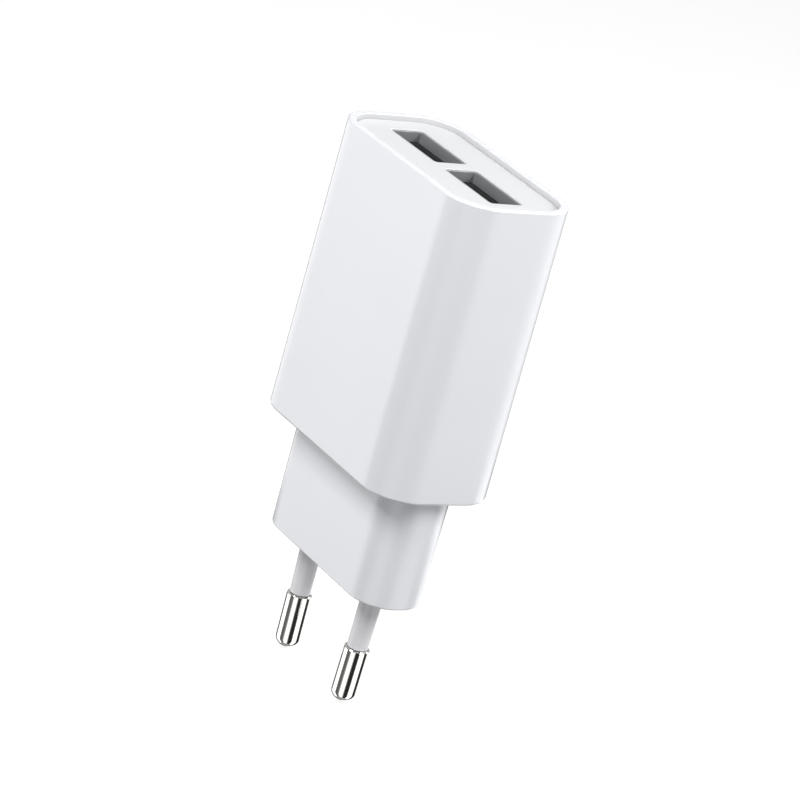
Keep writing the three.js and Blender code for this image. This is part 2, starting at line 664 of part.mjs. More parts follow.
function bridgeRectifier({ x, z, width, height, length, dimple }) {
  const y = BOARD_FACE_Y + AIR;
  const body = cut(
    block(x - width / 2, x + width / 2, y, y + height, z - length / 2, z + length / 2),
    rodAlongY(dimple, x - width / 2 + dimple, y + height - FIT, y + height + AIR, z + length / 2 - dimple),
  );
  const leads = [-1, 1].flatMap((side) => [-1, 1].map((end) => (
    lead(x + side * (width / 2 - LEAD_DIAMETER), y + height / 2, z + end * (length / 2 - LEAD_DIAMETER))
  )));
  return join(body, ...leads);
}

// A drum of ferrite with a copper coil in its waist
function onInductor(geometry) {
  return geometry.rotateX(-Math.PI / 2).translate(INDUCTOR.x, BOARD_FACE_Y + AIR, INDUCTOR.z);
}

function inductorCore() {
  const { diameter, height, flange, waist } = INDUCTOR;
  const drum = onInductor(turned([
    [0, 0],
    [diameter / 2, 0],
    [diameter / 2, flange],
    [waist / 2, flange],
    [waist / 2, height - flange],
    [diameter / 2, height - flange],
    [diameter / 2, height],
    [0, height],
  ]));
  const y = BOARD_FACE_Y + AIR + flange / 2;
  const leads = [-1, 1].map((side) => lead(INDUCTOR.x + side * (waist / 2 + FIT), y, INDUCTOR.z));
  return join(drum, ...leads);
}

function inductorCoil() {
  const { height, flange, waist, coil, turns } = INDUCTOR;
  const inner = waist / 2 + FIT;
  const pitch = (height - 2 * flange - 2 * FIT) / turns;
  const start = flange + FIT;
  const profile = [[inner, start]];
  for (let i = 0; i < turns; i += 1) {
    profile.push([coil / 2 - FIT, start + i * pitch]);
    profile.push([coil / 2, start + (i + 0.5) * pitch]);
  }
  profile.push([coil / 2 - FIT, start + turns * pitch]);
  profile.push([inner, start + turns * pitch]);
  profile.push([inner, start]);
  return onInductor(turned(profile));
}

// A lens-shaped disc standing on two leads
function yCapacitor({ x, z, radius, thickness, rim, pitch }) {
  const y = BOARD_FACE_Y + AIR + radius + FIT;
  const shoulder = radius / 2;
  const disc = turned([
    [0, -thickness / 2],
    [shoulder, -thickness / 2 + FIT],
    [radius - AIR, -rim],
    [radius, 0],
    [radius - AIR, rim],
    [shoulder, thickness / 2 - FIT],
    [0, thickness / 2],
  ]).translate(x, y, z);
  return join(disc, lead(x - pitch / 2, y, z), lead(x + pitch / 2, y, z));
}

// ---------------------------------------------------------------- transformer

const WINDOW = (CORE_WIDTH - CORE_LEG - 2 * CORE_SIDE_LEG) / 2;
const TUBE_WIDTH = CORE_LEG + 2 * (FIT + BOBBIN_WALL);
const TUBE_HEIGHT = CORE_THICKNESS + 2 * (FIT + BOBBIN_WALL);
const FLANGE_WIDTH = CORE_LEG + 2 * (WINDOW - FIT);
const BOBBIN_LENGTH = CORE_LENGTH - 2 * (CORE_BACK + FIT);
const WOUND_THICKNESS = 3 * FIT + PRIMARY_THICKNESS + SECONDARY_THICKNESS + TAPE_THICKNESS;
const BOBBIN_HEIGHT = TUBE_HEIGHT + 2 * WOUND_THICKNESS + AIR;
const CORE_Y = BOARD_FACE_Y + AIR + BOBBIN_HEIGHT / 2;

// One E-shaped half, legs towards the middle; end is -1 for the lower one and +1 for the upper one
function coreHalf(end) {
  const halfWidth = CORE_WIDTH / 2;
  const halfLength = CORE_LENGTH / 2;
  const gap = FIT / 2;
  const profile = [
    [-halfWidth, halfLength],
    [-halfWidth, gap],
    [-halfWidth + CORE_SIDE_LEG, gap],
    [-halfWidth + CORE_SIDE_LEG, halfLength - CORE_BACK],
    [-CORE_LEG / 2, halfLength - CORE_BACK],
    [-CORE_LEG / 2, gap],
    [CORE_LEG / 2, gap],
    [CORE_LEG / 2, halfLength - CORE_BACK],
    [halfWidth - CORE_SIDE_LEG, halfLength - CORE_BACK],
    [halfWidth - CORE_SIDE_LEG, gap],
    [halfWidth, gap],
    [halfWidth, halfLength],
  ];
  const points = profile.map(([x, z]) => new THREE.Vector2(x, end * z));
  const shape = new THREE.Shape(end > 0 ? points : points.reverse());
  return alongY(shape, -CORE_THICKNESS / 2, CORE_THICKNESS / 2).translate(0, CORE_Y, CORE_Z);
}

// Tube, two flanges and two pin rails in one moulding
function bobbin() {
  const halfLength = BOBBIN_LENGTH / 2;
  const low = -BOBBIN_HEIGHT / 2;
  const flanges = [-1, 1].map((end) => {
    const z = end * (halfLength - BOBBIN_WALL / 2);
    return block(
      -FLANGE_WIDTH / 2, FLANGE_WIDTH / 2, low, -low, z - BOBBIN_WALL / 2, z + BOBBIN_WALL / 2,
    );
  });
  const tube = block(
    -TUBE_WIDTH / 2, TUBE_WIDTH / 2, -TUBE_HEIGHT / 2, TUBE_HEIGHT / 2, -halfLength, halfLength,
  );
  const railTop = -CORE_THICKNESS / 2 - FIT;
  const rails = [-1, 1].map((end) => {
    const inner = halfLength - BOBBIN_WALL;
    const outer = CORE_LENGTH / 2 + BOBBIN_RAIL;
    const z = end > 0 ? [inner, outer] : [-outer, -inner];
    return block(-CORE_WIDTH / 2, CORE_WIDTH / 2, low, railTop, ...z);
  });
  const bore = block(
    -CORE_LEG / 2 - FIT, CORE_LEG / 2 + FIT,
    -CORE_THICKNESS / 2 - FIT, CORE_THICKNESS / 2 + FIT,
    -halfLength - AIR, halfLength + AIR,
  );
  const body = cut(join(tube, ...flanges, ...rails), bore).translate(0, CORE_Y, CORE_Z);
  const pins = [-1, 1].flatMap((end) => [-1.5, -0.5, 0.5, 1.5].map((step) => (
    lead(step * BOBBIN_PIN_PITCH, CORE_Y + low + LEAD_TAIL, CORE_Z + end * (CORE_LENGTH + BOBBIN_RAIL) / 2)
  )));
  return join(body, ...pins);
}

// A layer wound on the bobbin between its flanges
function windingLayer(inside, thickness) {
  const length = BOBBIN_LENGTH - 2 * (BOBBIN_WALL + FIT);
  const outer = roundedRectangle(
    TUBE_WIDTH + 2 * (inside + thickness), TUBE_HEIGHT + 2 * (inside + thickness), inside + thickness + FIT,
  );
  outer.holes.push(roundedRectangle(TUBE_WIDTH + 2 * inside, TUBE_HEIGHT + 2 * inside, inside));
  return prism(outer, -length / 2, length / 2, 4).translate(0, CORE_Y, CORE_Z);
}

// The tape band that holds the core halves together
function coreTape() {
  const inner = [CORE_WIDTH / 2 + FIT, CORE_LENGTH / 2 + FIT];
  const outer = inner.map((half) => half + TAPE_THICKNESS);
  const half = CORE_THICKNESS / 2 - 3 * FIT;
  return cut(
    block(-outer[0], outer[0], CORE_Y - half, CORE_Y + half, CORE_Z - outer[1], CORE_Z + outer[1]),
    block(
      -inner[0], inner[0], CORE_Y - CORE_THICKNESS, CORE_Y + CORE_THICKNESS,
      CORE_Z - inner[1], CORE_Z + inner[1],
    ),
  );
}

// ---------------------------------------------------------------- solder-side parts

// A moulded package with gull-wing leads along its two X sides
function gullPackage({ x, z, width, length, height, pins, pitch, span }) {
  const top = BOARD_BACK_Y - FIT;
  const body = block(
    x - width / 2, x + width / 2, top - FIT - height, top - FIT, z - length / 2, z + length / 2,
  );
  const { thickness, buried, shoulder, knee } = GULL_LEAD;
  const leads = [-1, 1].flatMap((side) => Array.from({ length: pins }, (unused, i) => {
    const leadZ = z + (i - (pins - 1) / 2) * pitch;
    const middleY = top - FIT - height / 2;
    const line = [
      [side * (width / 2 - buried), middleY],
      [side * (width / 2 + shoulder), middleY],
      [side * (width / 2 + knee), top - thickness / 2],
      [side * span / 2, top - thickness / 2],
    ];
    const half = pitch / 6;
    const shape = bentStrip(line, thickness);
    const strip = new THREE.ExtrudeGeometry(shape, { depth: 2 * half, bevelEnabled: false });
    return strip.translate(x, 0, leadZ - half);
  }));
  return join(body, ...leads);
}

// A chip part with wrapped end caps standing slightly proud of its middle
function chip(x, z, { length, width, height }) {
  const top = BOARD_BACK_Y - FIT;
  const cap = length / 6;
  const lip = FIT / 2;
  return join(
    block(x - length / 2 + lip, x + length / 2 - lip, top - lip - height, top - lip,
      z - width / 2 + lip, z + width / 2 - lip),
    block(x - length / 2, x - length / 2 + cap, top - 2 * lip - height, top, z - width / 2, z + width / 2),
    block(x + length / 2 - cap, x + length / 2, top - 2 * lip - height, top, z - width / 2, z + width / 2),
  );
}

// ---------------------------------------------------------------- board and insulation film

function mainBoard() {
  const outline = new THREE.Shape();
  const half = BOARD_WIDTH / 2;
  outline.moveTo(-half, BOARD_BOTTOM_Z);
  outline.lineTo(half, BOARD_BOTTOM_Z);
  outline.lineTo(half, BOARD_TOP_Z);
  outline.lineTo(-half, BOARD_TOP_Z);
  outline.closePath();
  const slots = [-1, 1].flatMap((side) => {
    const portX = side * PORT_SPACING / 2;
    const tabZ = PORT_MOUTH_Z - SHELL_TAB_SETBACK;
    const tabSlots = [-1, 1].map((edge) => {
      const x = portX + edge * (PORT_WIDTH + SHELL_THICKNESS) / 2;
      return boardSlot(x, tabZ, SHELL_THICKNESS, SHELL_TAB_WIDTH);
    });
    const tailSlots = CONTACT_OFFSETS.map((offset) => (
      boardSlot(portX + offset, CONTACT_TAIL_Z, CONTACT_WIDTH, CONTACT_THICKNESS)
    ));
    return [...tabSlots, ...tailSlots];
  });
  return cut(alongY(outline, BOARD_BACK_Y, BOARD_FACE_Y), ...slots, ...leadHoles);
}

function boardSlot(x, z, width, length) {
  const halfX = width / 2 + LEAD_FIT;
  const halfZ = length / 2 + LEAD_FIT;
  return block(x - halfX, x + halfX, BOARD_BACK_Y - AIR, BOARD_FACE_Y + AIR, z - halfZ, z + halfZ);
}

function insulationSheet() {
  const wallY = -CAVITY_DEPTH / 2;
  const half = CAVITY_WIDTH / 2 - BODY_CORNER + WALL;
  const top = PORT_REAR_Z + PORT_LENGTH / 2;
  return block(-half, half, wallY + FIT, wallY + FIT + FILM_THICKNESS, BOARD_BOTTOM_Z, top);
}

// ---------------------------------------------------------------- assembly

place('housing', 'gloss_white', housing());
place('port_panel', 'satin_white', portPanel());
place('pin_carrier', 'satin_white', pinCarrier());

for (const [name, side] of [['left', -1], ['right', 1]]) {
  place(`pin_${name}`, 'nickel', atPin(pinShape(), side));
  place(`pin_sleeve_${name}`, 'sleeve_grey', atPin(sleeveShape(), side));
  place(`mains_strip_${name}`, 'copper', mainsStrip(side));
}

for (const [name, side] of [['left', -1], ['right', 1]]) {
  const portX = side * PORT_SPACING / 2;
  place(`usb_shell_${name}`, 'steel', usbShell(portX));
  place(`usb_insulator_${name}`, 'black_plastic', usbInsulator(portX));
  CONTACT_OFFSETS.forEach((offset, i) => {
    place(`usb_contact_${name}_${i + 1}`, 'gold', usbContact(portX + offset));
  });
}

place('fuse_resistor', 'sleeve_green', fuseResistor(FUSE));
place('bridge_rectifier', 'black_plastic', bridgeRectifier(BRIDGE));
place('inductor_core', 'ferrite', inductorCore());
place('inductor_coil', 'copper', inductorCoil());
place('y_capacitor', 'blue_epoxy', yCapacitor(DISC));
place('input_capacitor_1', 'sleeve_black', electrolytic(-COLUMN_X, LOWER_CAPACITOR_Z));
place('input_capacitor_2', 'sleeve_black', electrolytic(-COLUMN_X, UPPER_CAPACITOR_Z));
place('output_capacitor_1', 'sleeve_green', electrolytic(COLUMN_X, LOWER_CAPACITOR_Z));
place('output_capacitor_2', 'sleeve_green', electrolytic(COLUMN_X, UPPER_CAPACITOR_Z));

place('transformer_core_lower', 'ferrite', coreHalf(-1));
place('transformer_core_upper', 'ferrite', coreHalf(1));
place('transformer_bobbin', 'black_plastic', bobbin());
place('primary_winding', 'copper', windingLayer(FIT, PRIMARY_THICKNESS));
place('secondary_winding', 'copper', windingLayer(2 * FIT + PRIMARY_THICKNESS, SECONDARY_THICKNESS));
place('winding_tape', 'tape_yellow', windingLayer(WOUND_THICKNESS - TAPE_THICKNESS, TAPE_THICKNESS));
place('core_tape', 'tape_yellow', coreTape());

place('controller_ic', 'black_plastic', gullPackage(CONTROLLER));
place('output_rectifier', 'black_plastic', gullPackage(RECTIFIER));
place('charge_id_ic', 'black_plastic', gullPackage(CHARGE_ID));
for (let i = 0; i < CHIP_RESISTOR.count; i += 1) {
  const z = CHIP_RESISTOR.z + i * CHIP_RESISTOR.step;
  place(`chip_resistor_${i + 1}`, 'black_plastic', chip(CHIP_RESISTOR.x, z, CHIP_RESISTOR));
}
for (let i = 0; i < CHIP_CAPACITOR.count; i += 1) {
  const z = CHIP_CAPACITOR.z + i * CHIP_CAPACITOR.step;
  place(`chip_capacitor_${i + 1}`, 'white_ceramic', chip(CHIP_CAPACITOR.x, z, CHIP_CAPACITOR));
}

place('insulation_sheet', 'film', insulationSheet());
place('main_board', 'board_green', mainBoard());

export default group;
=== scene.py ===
# Two-port wall charger with a two-pin plug: finished surfaces around the fixed frame.
# Metres, +Z up from the plug's contact face towards the ports, X wide, Y thin.

import json
import math

import bmesh
import bpy
from mathutils import Matrix, Vector


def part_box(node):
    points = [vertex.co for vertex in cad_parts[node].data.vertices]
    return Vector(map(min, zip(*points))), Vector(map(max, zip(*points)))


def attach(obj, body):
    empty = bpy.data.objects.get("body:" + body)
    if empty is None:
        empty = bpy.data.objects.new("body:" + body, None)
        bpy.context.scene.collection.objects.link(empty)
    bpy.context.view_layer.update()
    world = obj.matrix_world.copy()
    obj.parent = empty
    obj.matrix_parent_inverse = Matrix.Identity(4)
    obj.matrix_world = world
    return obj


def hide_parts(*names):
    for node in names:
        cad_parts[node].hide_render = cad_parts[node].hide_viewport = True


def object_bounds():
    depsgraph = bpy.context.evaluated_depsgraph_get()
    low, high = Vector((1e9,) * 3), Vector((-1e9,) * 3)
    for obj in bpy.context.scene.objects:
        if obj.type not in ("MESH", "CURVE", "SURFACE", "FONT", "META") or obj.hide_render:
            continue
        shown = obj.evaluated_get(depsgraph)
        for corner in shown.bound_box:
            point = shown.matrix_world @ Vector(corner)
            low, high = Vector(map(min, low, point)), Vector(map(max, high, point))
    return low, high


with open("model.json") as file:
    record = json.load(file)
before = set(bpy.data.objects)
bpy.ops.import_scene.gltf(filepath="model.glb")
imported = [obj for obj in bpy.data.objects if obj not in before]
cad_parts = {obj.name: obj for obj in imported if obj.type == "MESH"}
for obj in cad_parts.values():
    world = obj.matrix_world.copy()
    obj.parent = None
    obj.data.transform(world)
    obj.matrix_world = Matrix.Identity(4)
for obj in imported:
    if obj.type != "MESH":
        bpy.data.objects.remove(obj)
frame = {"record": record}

MM = 0.001
QUARTER = math.radians(90)


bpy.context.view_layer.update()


# ---------------------------------------------------------------- camera

CAMERA_AZIMUTH = math.radians(53.27)
CAMERA_ELEVATION = math.radians(19.62)
CAMERA_ROLL = math.radians(15.78)
CAMERA_DISTANCE = 635.3 * MM
CAMERA_AIM = Vector((-1.08, 2.60, 26.79)) * MM
CAMERA_LENS = 188.7
CAMERA_SENSOR = 36.0


def add_camera():
    back = Vector((
        math.sin(CAMERA_AZIMUTH) * math.cos(CAMERA_ELEVATION),
        -math.cos(CAMERA_AZIMUTH) * math.cos(CAMERA_ELEVATION),
        math.sin(CAMERA_ELEVATION),
    ))
    level = Vector((math.cos(CAMERA_AZIMUTH), math.sin(CAMERA_AZIMUTH), 0))
    above = back.cross(level)
    right = level * math.cos(CAMERA_ROLL) + above * math.sin(CAMERA_ROLL)
    up = back.cross(right)
    data = bpy.data.cameras.new("camera")
    data.lens = CAMERA_LENS
    data.sensor_width = CAMERA_SENSOR
    data.clip_start = 10 * MM
    camera = bpy.data.objects.new("camera", data)
    bpy.context.scene.collection.objects.link(camera)
    turn = Matrix((right, up, back)).transposed().to_4x4()
    camera.matrix_world = Matrix.Translation(CAMERA_AIM + back * CAMERA_DISTANCE) @ turn
    bpy.context.scene.camera = camera


add_camera()


# ---------------------------------------------------------------- shader maths

class Value:
    """A number that varies over a surface; arithmetic on it adds Math nodes."""

    def __init__(self, finish, socket):
        self.finish = finish
        self.socket = socket

    def __add__(self, other):
        return self.finish.maths("ADD", self, other)

    def __sub__(self, other):
        return self.finish.maths("SUBTRACT", self, other)

    def __mul__(self, other):
        return self.finish.maths("MULTIPLY", self, other)

    def __rsub__(self, other):
        return self.finish.maths("SUBTRACT", other, self)

    __radd__ = __add__
    __rmul__ = __mul__


class Finish:
    """A procedural material built on one Principled shader."""

    def __init__(self, name, **constants):
        self.material = bpy.data.materials.new(name)
        self.material.use_nodes = True
        self.tree = self.material.node_tree
        self.shader = self.tree.nodes["Principled BSDF"]
        for label, value in constants.items():
            self.shader.inputs[label.replace("_", " ").title().replace("Ior", "IOR")].default_value = value

    def node(self, kind, settings=None, inputs=None, output=0):
        made = self.tree.nodes.new(kind)
        for name, value in (settings or {}).items():
            if name == "stops":
                self.set_stops(made.color_ramp, value)
            else:
                setattr(made, name, value)
        for name, value in (inputs or {}).items():
            self.connect(made.inputs[name], value)
        return Value(self, made.outputs[output])

    @staticmethod
    def set_stops(ramp, stops):
        while len(ramp.elements) < len(stops):
            ramp.elements.new(0.5)
        for element, (position, colour) in zip(ramp.elements, stops):
            element.position = position
            element.color = (*colour, 1)

    def connect(self, socket, value):
        if isinstance(value, Value):
            self.tree.links.new(value.socket, socket)
        else:
            socket.default_value = value

    def maths(self, operation, first, second):
        return self.node("ShaderNodeMath", {"operation": operation}, {0: first, 1: second})

    def smooth(self, value, low, high):
        """0 below low, 1 above high and a soft step between."""
        return self.node(
            "ShaderNodeMapRange", {"interpolation_type": "SMOOTHSTEP"},
            {"Value": value, "From Min": low, "From Max": high},
        )

    def place(self, stretch=(1, 1, 1), turn=(0, 0, 0)):
        """Object coordinates, stretched and turned."""
        where = self.node("ShaderNodeTexCoord", output="Object")
        return self.node(
            "ShaderNodeMapping", None, {"Vector": where, "Scale": stretch, "Rotation": turn},
        )

    def noise(self, size, detail=3.0, roughness=0.5, stretch=(1, 1, 1)):
        """Soft noise with features of about size."""
        return self.node("ShaderNodeTexNoise", None, {
            "Vector": self.place(stretch), "Scale": 1 / size, "Detail": detail, "Roughness": roughness,
        })

    def mix(self, factor, first, second):
        """A colour between two colours."""
        return self.node(
            "ShaderNodeMix", {"data_type": "RGBA"},
            {0: factor, 6: self.as_colour(first), 7: self.as_colour(second)}, output=2,
        )

    @staticmethod
    def as_colour(value):
        return value if isinstance(value, Value) else (*value, 1)

    def colour(self, value):
        self.connect(self.shader.inputs["Base Color"], self.as_colour(value))
        return self

    def roughness(self, value):
        self.connect(self.shader.inputs["Roughness"], value)
        return self

    def bump(self, height, distance, strength=1.0):
        relief = self.node("ShaderNodeBump", None, {
            "Height": height, "Distance": distance, "Strength": strength,
        })
        self.connect(self.shader.inputs["Normal"], relief)
        return self


# ---------------------------------------------------------------- finishes

def moulded_plastic(name, tone, gloss, grain, coat):
    """Injection-moulded plastic: a hint of flow mottling, a fine skin and a few hairline scuffs."""
    made = Finish(name, coat_weight=coat, coat_roughness=0.1, ior=1.5)
    mottle = made.noise(14 * MM, 2.0, 0.4)
    skin = made.noise(0.35 * MM, 2.0)
    scuff = made.noise(2.2 * MM, 6.0, 0.75, (1, 1, 0.06))
    darker = tuple(part * 0.988 for part in tone)
    made.colour(made.mix(made.smooth(mottle, 0.35, 0.7), tone, darker))
    marks = made.smooth(scuff, 0.62, 0.75)
    made.roughness(mottle * 0.03 + marks * 0.05 + (gloss - 0.015))
    made.bump(skin * 0.8 + mottle * 0.2, grain)
    return made.material


def plated_pin():
    """Bright nickel with faint lengthwise draw marks and turning rings."""
    made = Finish("nickel_plate", metallic=1.0)
    draw = made.noise(0.35 * MM, 2.0, 0.5, (1, 1, 0.04))
    rings = made.noise(0.2 * MM, 2.0, 0.5, (0.02, 0.02, 1))
    dull = made.noise(2.5 * MM, 3.0)
    made.colour(made.mix(made.smooth(dull, 0.5, 0.9), (0.87, 0.86, 0.83), (0.78, 0.76, 0.72)))
    made.roughness(made.smooth(dull, 0.45, 0.85) * 0.05 + draw * 0.04 + 0.07)
    made.bump(draw * 0.6 + rings * 0.4, 0.0015 * MM)
    return made.material


def sheet_steel():
    """Tin-plated port shell, with grain along the pressing direction."""
    made = Finish("dull_tin_plate", metallic=0.55)
    grain = made.noise(0.6 * MM, 4.0, 0.7, (1, 1, 0.08))
    blotch = made.noise(3 * MM, 3.0)
    made.colour(made.mix(blotch, (0.40, 0.41, 0.42), (0.32, 0.33, 0.34)))
    made.roughness(grain * 0.14 + 0.36)
    made.bump(grain, 0.01 * MM)
    return made.material


def moulded_black(name, tone, speck):
    """Filled black moulding compound with fine pale specks."""
    made = Finish(name, specular_ior_level=0.3)
    grain = made.noise(0.12 * MM, 2.0)
    flow = made.noise(2.5 * MM, 3.0)
    pale = tuple(part + speck for part in tone)
    made.colour(made.mix(made.smooth(grain, 0.55, 0.8), tone, pale))
    made.roughness(flow * 0.18 + 0.5)
    made.bump(grain, 0.02 * MM)
    return made.material


def gold_plate():
    made = Finish("gold_flash", metallic=1.0)
    rub = made.noise(0.7 * MM, 4.0, 0.6, (1, 1, 0.1))
    made.colour(made.mix(made.smooth(rub, 0.4, 0.75), (0.86, 0.62, 0.26), (0.74, 0.55, 0.30)))
    made.roughness(rub * 0.2 + 0.16)
    made.bump(rub, 0.004 * MM)
    return made.material


WHITE_CASE = moulded_plastic("gloss_white_case", (0.805, 0.815, 0.85), 0.24, 0.006 * MM, 0.35)
# The port panel's white is set darker than the case's as painted shade, which offsets the stronger light
# that falls on the top.
WHITE_PANEL_PAINTED_SHADE = moulded_plastic("gloss_white_panel", (0.69, 0.695, 0.705), 0.30, 0.008 * MM, 0.2)
# The case's inner faces: matt, and darker than the white case as painted shade, which greys the recess wall
# above the port panel and the inside.
CASE_INSIDE_PAINTED_SHADE = moulded_plastic("matt_case_inside", (0.62, 0.62, 0.635), 0.5, 0.012 * MM, 0.0)
SLEEVE_PLASTIC = moulded_plastic("sleeve_plastic", (0.77, 0.77, 0.79), 0.38, 0.006 * MM, 0.0)
NICKEL = plated_pin()
PORT_STEEL = sheet_steel()
PORT_BLACK = moulded_black("port_insulator", (0.005, 0.005, 0.006), 0.004)
GOLD = gold_plate()


def two_tone(name, tone, other, size, gloss, relief, stretch=(1, 1, 1), **constants):
    """A finish that wavers between two tones, with its roughness and relief following the grain."""
    made = Finish(name, **constants)
    broad = made.noise(size, 4.0, 0.6, stretch)
    fine = made.noise(size * 0.2, 2.0, 0.5, stretch)
    made.colour(made.mix(made.smooth(broad, 0.35, 0.7), tone, other))
    made.roughness(broad * 0.14 + fine * 0.06 + (gloss - 0.1))
    made.bump(fine * 0.6 + broad * 0.4, relief)
    return made.material


def solder_mask():
    """Green lacquer over a grid of tracks, which show as slightly paler, raised lines."""
    made = Finish("green_solder_mask", coat_weight=0.3)
    weave = made.noise(0.5 * MM, 3.0, 0.6)
    runs = made.node("ShaderNodeTexBrick", {"offset": 0.37}, {
        "Vector": made.place(turn=(QUARTER, 0, 0)), "Scale": 1 / (9 * MM),
        "Mortar Size": 0.014, "Mortar Smooth": 0.2, "Brick Width": 1.3, "Row Height": 0.1,
    }, output=1)
    pours = made.noise(7 * MM, 1.0, 0.3, (1, 1, 0.4))
    tracks = runs * made.smooth(pours, 0.46, 0.5) + made.smooth(pours, 0.56, 0.565) * 0.5
    lacquer = made.mix(made.smooth(weave, 0.3, 0.75), (0.012, 0.105, 0.035), (0.018, 0.13, 0.045))
    made.colour(made.mix(tracks, lacquer, (0.032, 0.175, 0.06)))
    made.roughness(weave * 0.14 + 0.26)
    made.bump(tracks * 0.8 + weave * 0.2, 0.03 * MM)
    return made.material


INSERT_WHITE = moulded_plastic("insert_plastic", (0.70, 0.71, 0.72), 0.48, 0.012 * MM, 0.0)
PACKAGE_BLACK = moulded_black("package_moulding", (0.018, 0.018, 0.02), 0.03)
BOBBIN_BLACK = moulded_black("bobbin_moulding", (0.012, 0.012, 0.013), 0.012)
RUBBER = moulded_black("bung_rubber", (0.02, 0.019, 0.018), 0.01)
SOLDER_MASK = solder_mask()
COPPER_STRIP = two_tone(
    "rolled_copper", (0.74, 0.37, 0.21), (0.56, 0.27, 0.16), 1.4 * MM, 0.34, 0.004 * MM, (1, 1, 0.1),
    metallic=1.0,
)
ENAMELLED_WIRE = two_tone(
    "enamelled_wire", (0.62, 0.25, 0.09), (0.47, 0.17, 0.06), 0.8 * MM, 0.3, 0.005 * MM,
    metallic=0.85, coat_weight=0.5, coat_roughness=0.12,
)
INSULATED_WIRE = two_tone(
    "insulated_wire", (0.72, 0.55, 0.10), (0.62, 0.45, 0.08), 0.9 * MM, 0.34, 0.005 * MM,
    coat_weight=0.4, coat_roughness=0.15,
)
TINNED = two_tone(
    "tinned_wire", (0.70, 0.70, 0.69), (0.56, 0.56, 0.55), 0.5 * MM, 0.28, 0.004 * MM, metallic=1.0,
)
SOLDER = two_tone(
    "solder", (0.66, 0.66, 0.66), (0.47, 0.47, 0.48), 0.35 * MM, 0.3, 0.01 * MM, metallic=0.95,
)
ALUMINIUM = two_tone(
    "brushed_can_top", (0.80, 0.80, 0.81), (0.66, 0.66, 0.67), 0.4 * MM, 0.32, 0.004 * MM, (0.1, 1, 1),
    metallic=1.0,
)
FERRITE = two_tone(
    "sintered_ferrite", (0.045, 0.044, 0.048), (0.075, 0.073, 0.075), 0.5 * MM, 0.66, 0.02 * MM,
)
INPUT_SLEEVE = two_tone(
    "input_can_sleeve", (0.012, 0.015, 0.045), (0.018, 0.022, 0.06), 2.5 * MM, 0.3, 0.01 * MM,
)
OUTPUT_SLEEVE = two_tone(
    "output_can_sleeve", (0.010, 0.062, 0.045), (0.014, 0.08, 0.058), 2.5 * MM, 0.3, 0.01 * MM,
)
STRIPE = two_tone("polarity_stripe", (0.52, 0.53, 0.52), (0.44, 0.45, 0.45), 0.6 * MM, 0.36, 0.006 * MM)
FUSE_COAT = two_tone("fuse_lacquer", (0.02, 0.16, 0.09), (0.03, 0.21, 0.12), 0.8 * MM, 0.36, 0.015 * MM)
BAND_BROWN = two_tone("brown_band", (0.13, 0.045, 0.02), (0.17, 0.06, 0.03), 0.4 * MM, 0.4, 0.008 * MM)
BAND_GOLD = two_tone(
    "gold_band", (0.62, 0.44, 0.14), (0.5, 0.35, 0.1), 0.4 * MM, 0.36, 0.008 * MM, metallic=0.7,
)
DISC_BLUE = two_tone(
    "blue_epoxy", (0.02, 0.115, 0.40), (0.03, 0.15, 0.48), 1.6 * MM, 0.3, 0.03 * MM, coat_weight=0.3,
)
CHIP_CERAMIC = two_tone("chip_ceramic", (0.60, 0.58, 0.53), (0.5, 0.48, 0.43), 0.3 * MM, 0.55, 0.01 * MM)
CHIP_TAN = two_tone("capacitor_ceramic", (0.40, 0.27, 0.16), (0.33, 0.21, 0.12), 0.3 * MM, 0.45, 0.01 * MM)
TAPE_YELLOW = two_tone(
    "polyester_tape", (0.78, 0.55, 0.06), (0.68, 0.46, 0.04), 2 * MM, 0.3, 0.01 * MM, (1, 1, 0.2),
    coat_weight=0.4, coat_roughness=0.12,
)
AMBER_FILM = two_tone(
    "insulating_film", (0.62, 0.47, 0.16), (0.54, 0.40, 0.12), 6 * MM, 0.3, 0.02 * MM, coat_weight=0.3,
)


# ---------------------------------------------------------------- mesh helpers

LOFT_STEP = 40 * MM


def outline(bm, width, depth, corner, z, segments, centre=(0, 0)):
    """The edges of a rounded rectangle at level z."""
    made = bmesh.ops.create_grid(bm, x_segments=1, y_segments=1, size=0.5)
    bmesh.ops.scale(bm, vec=(width, depth, 1), verts=made["verts"])
    move(bm, (*centre, z), made["verts"])
    rounded = bmesh.ops.bevel(
        bm, geom=made["verts"], offset=corner, segments=segments, profile=0.5,
        affect="VERTICES", material=-1,
    )
    face = rounded["verts"][0].link_faces[0]
    edges = list(face.edges)
    bmesh.ops.delete(bm, geom=[face], context="FACES_ONLY")
    return edges


def loft(bm, loops):
    """Bridges each outline to the next, spread out in Z meanwhile: outlines in one plane would twist."""
    levels = {}
    for step, loop in enumerate(loops):
        for vert in {vert for edge in loop for vert in edge.verts}:
            if vert not in levels:
                levels[vert] = vert.co.z
                vert.co.z = step * LOFT_STEP
    for lower, upper in zip(loops, loops[1:]):
        bmesh.ops.bridge_loops(bm, edges=lower + upper)
    for vert, level in levels.items():
        vert.co.z = level


def cap(bm, *loops):
    for loop in loops:
        bmesh.ops.edgeloop_fill(bm, edges=loop)


def fillet(bm, edges, radius, segments=3):
    bmesh.ops.bevel(
        bm, geom=list(set(edges)), offset=radius, segments=segments, profile=0.5,
        affect="EDGES", material=-1,
    )


def move(bm, vec, verts=None):
    """Shifts the given vertices, or all of them."""
    bmesh.ops.translate(bm, vec=vec, verts=bm.verts if verts is None else verts)


def rotate(bm, angle, axis, verts=None):
    """Turns the given vertices, or all of them, about an axis through the origin."""
    turn = Matrix.Rotation(angle, 3, axis)
    bmesh.ops.rotate(bm, cent=(0, 0, 0), matrix=turn, verts=bm.verts if verts is None else verts)


def since(bm, known):
    """The vertices that were made since known."""
    return [vert for vert in bm.verts if vert not in known]


def verts_in(parts):
    return [part for part in parts if isinstance(part, bmesh.types.BMVert)]


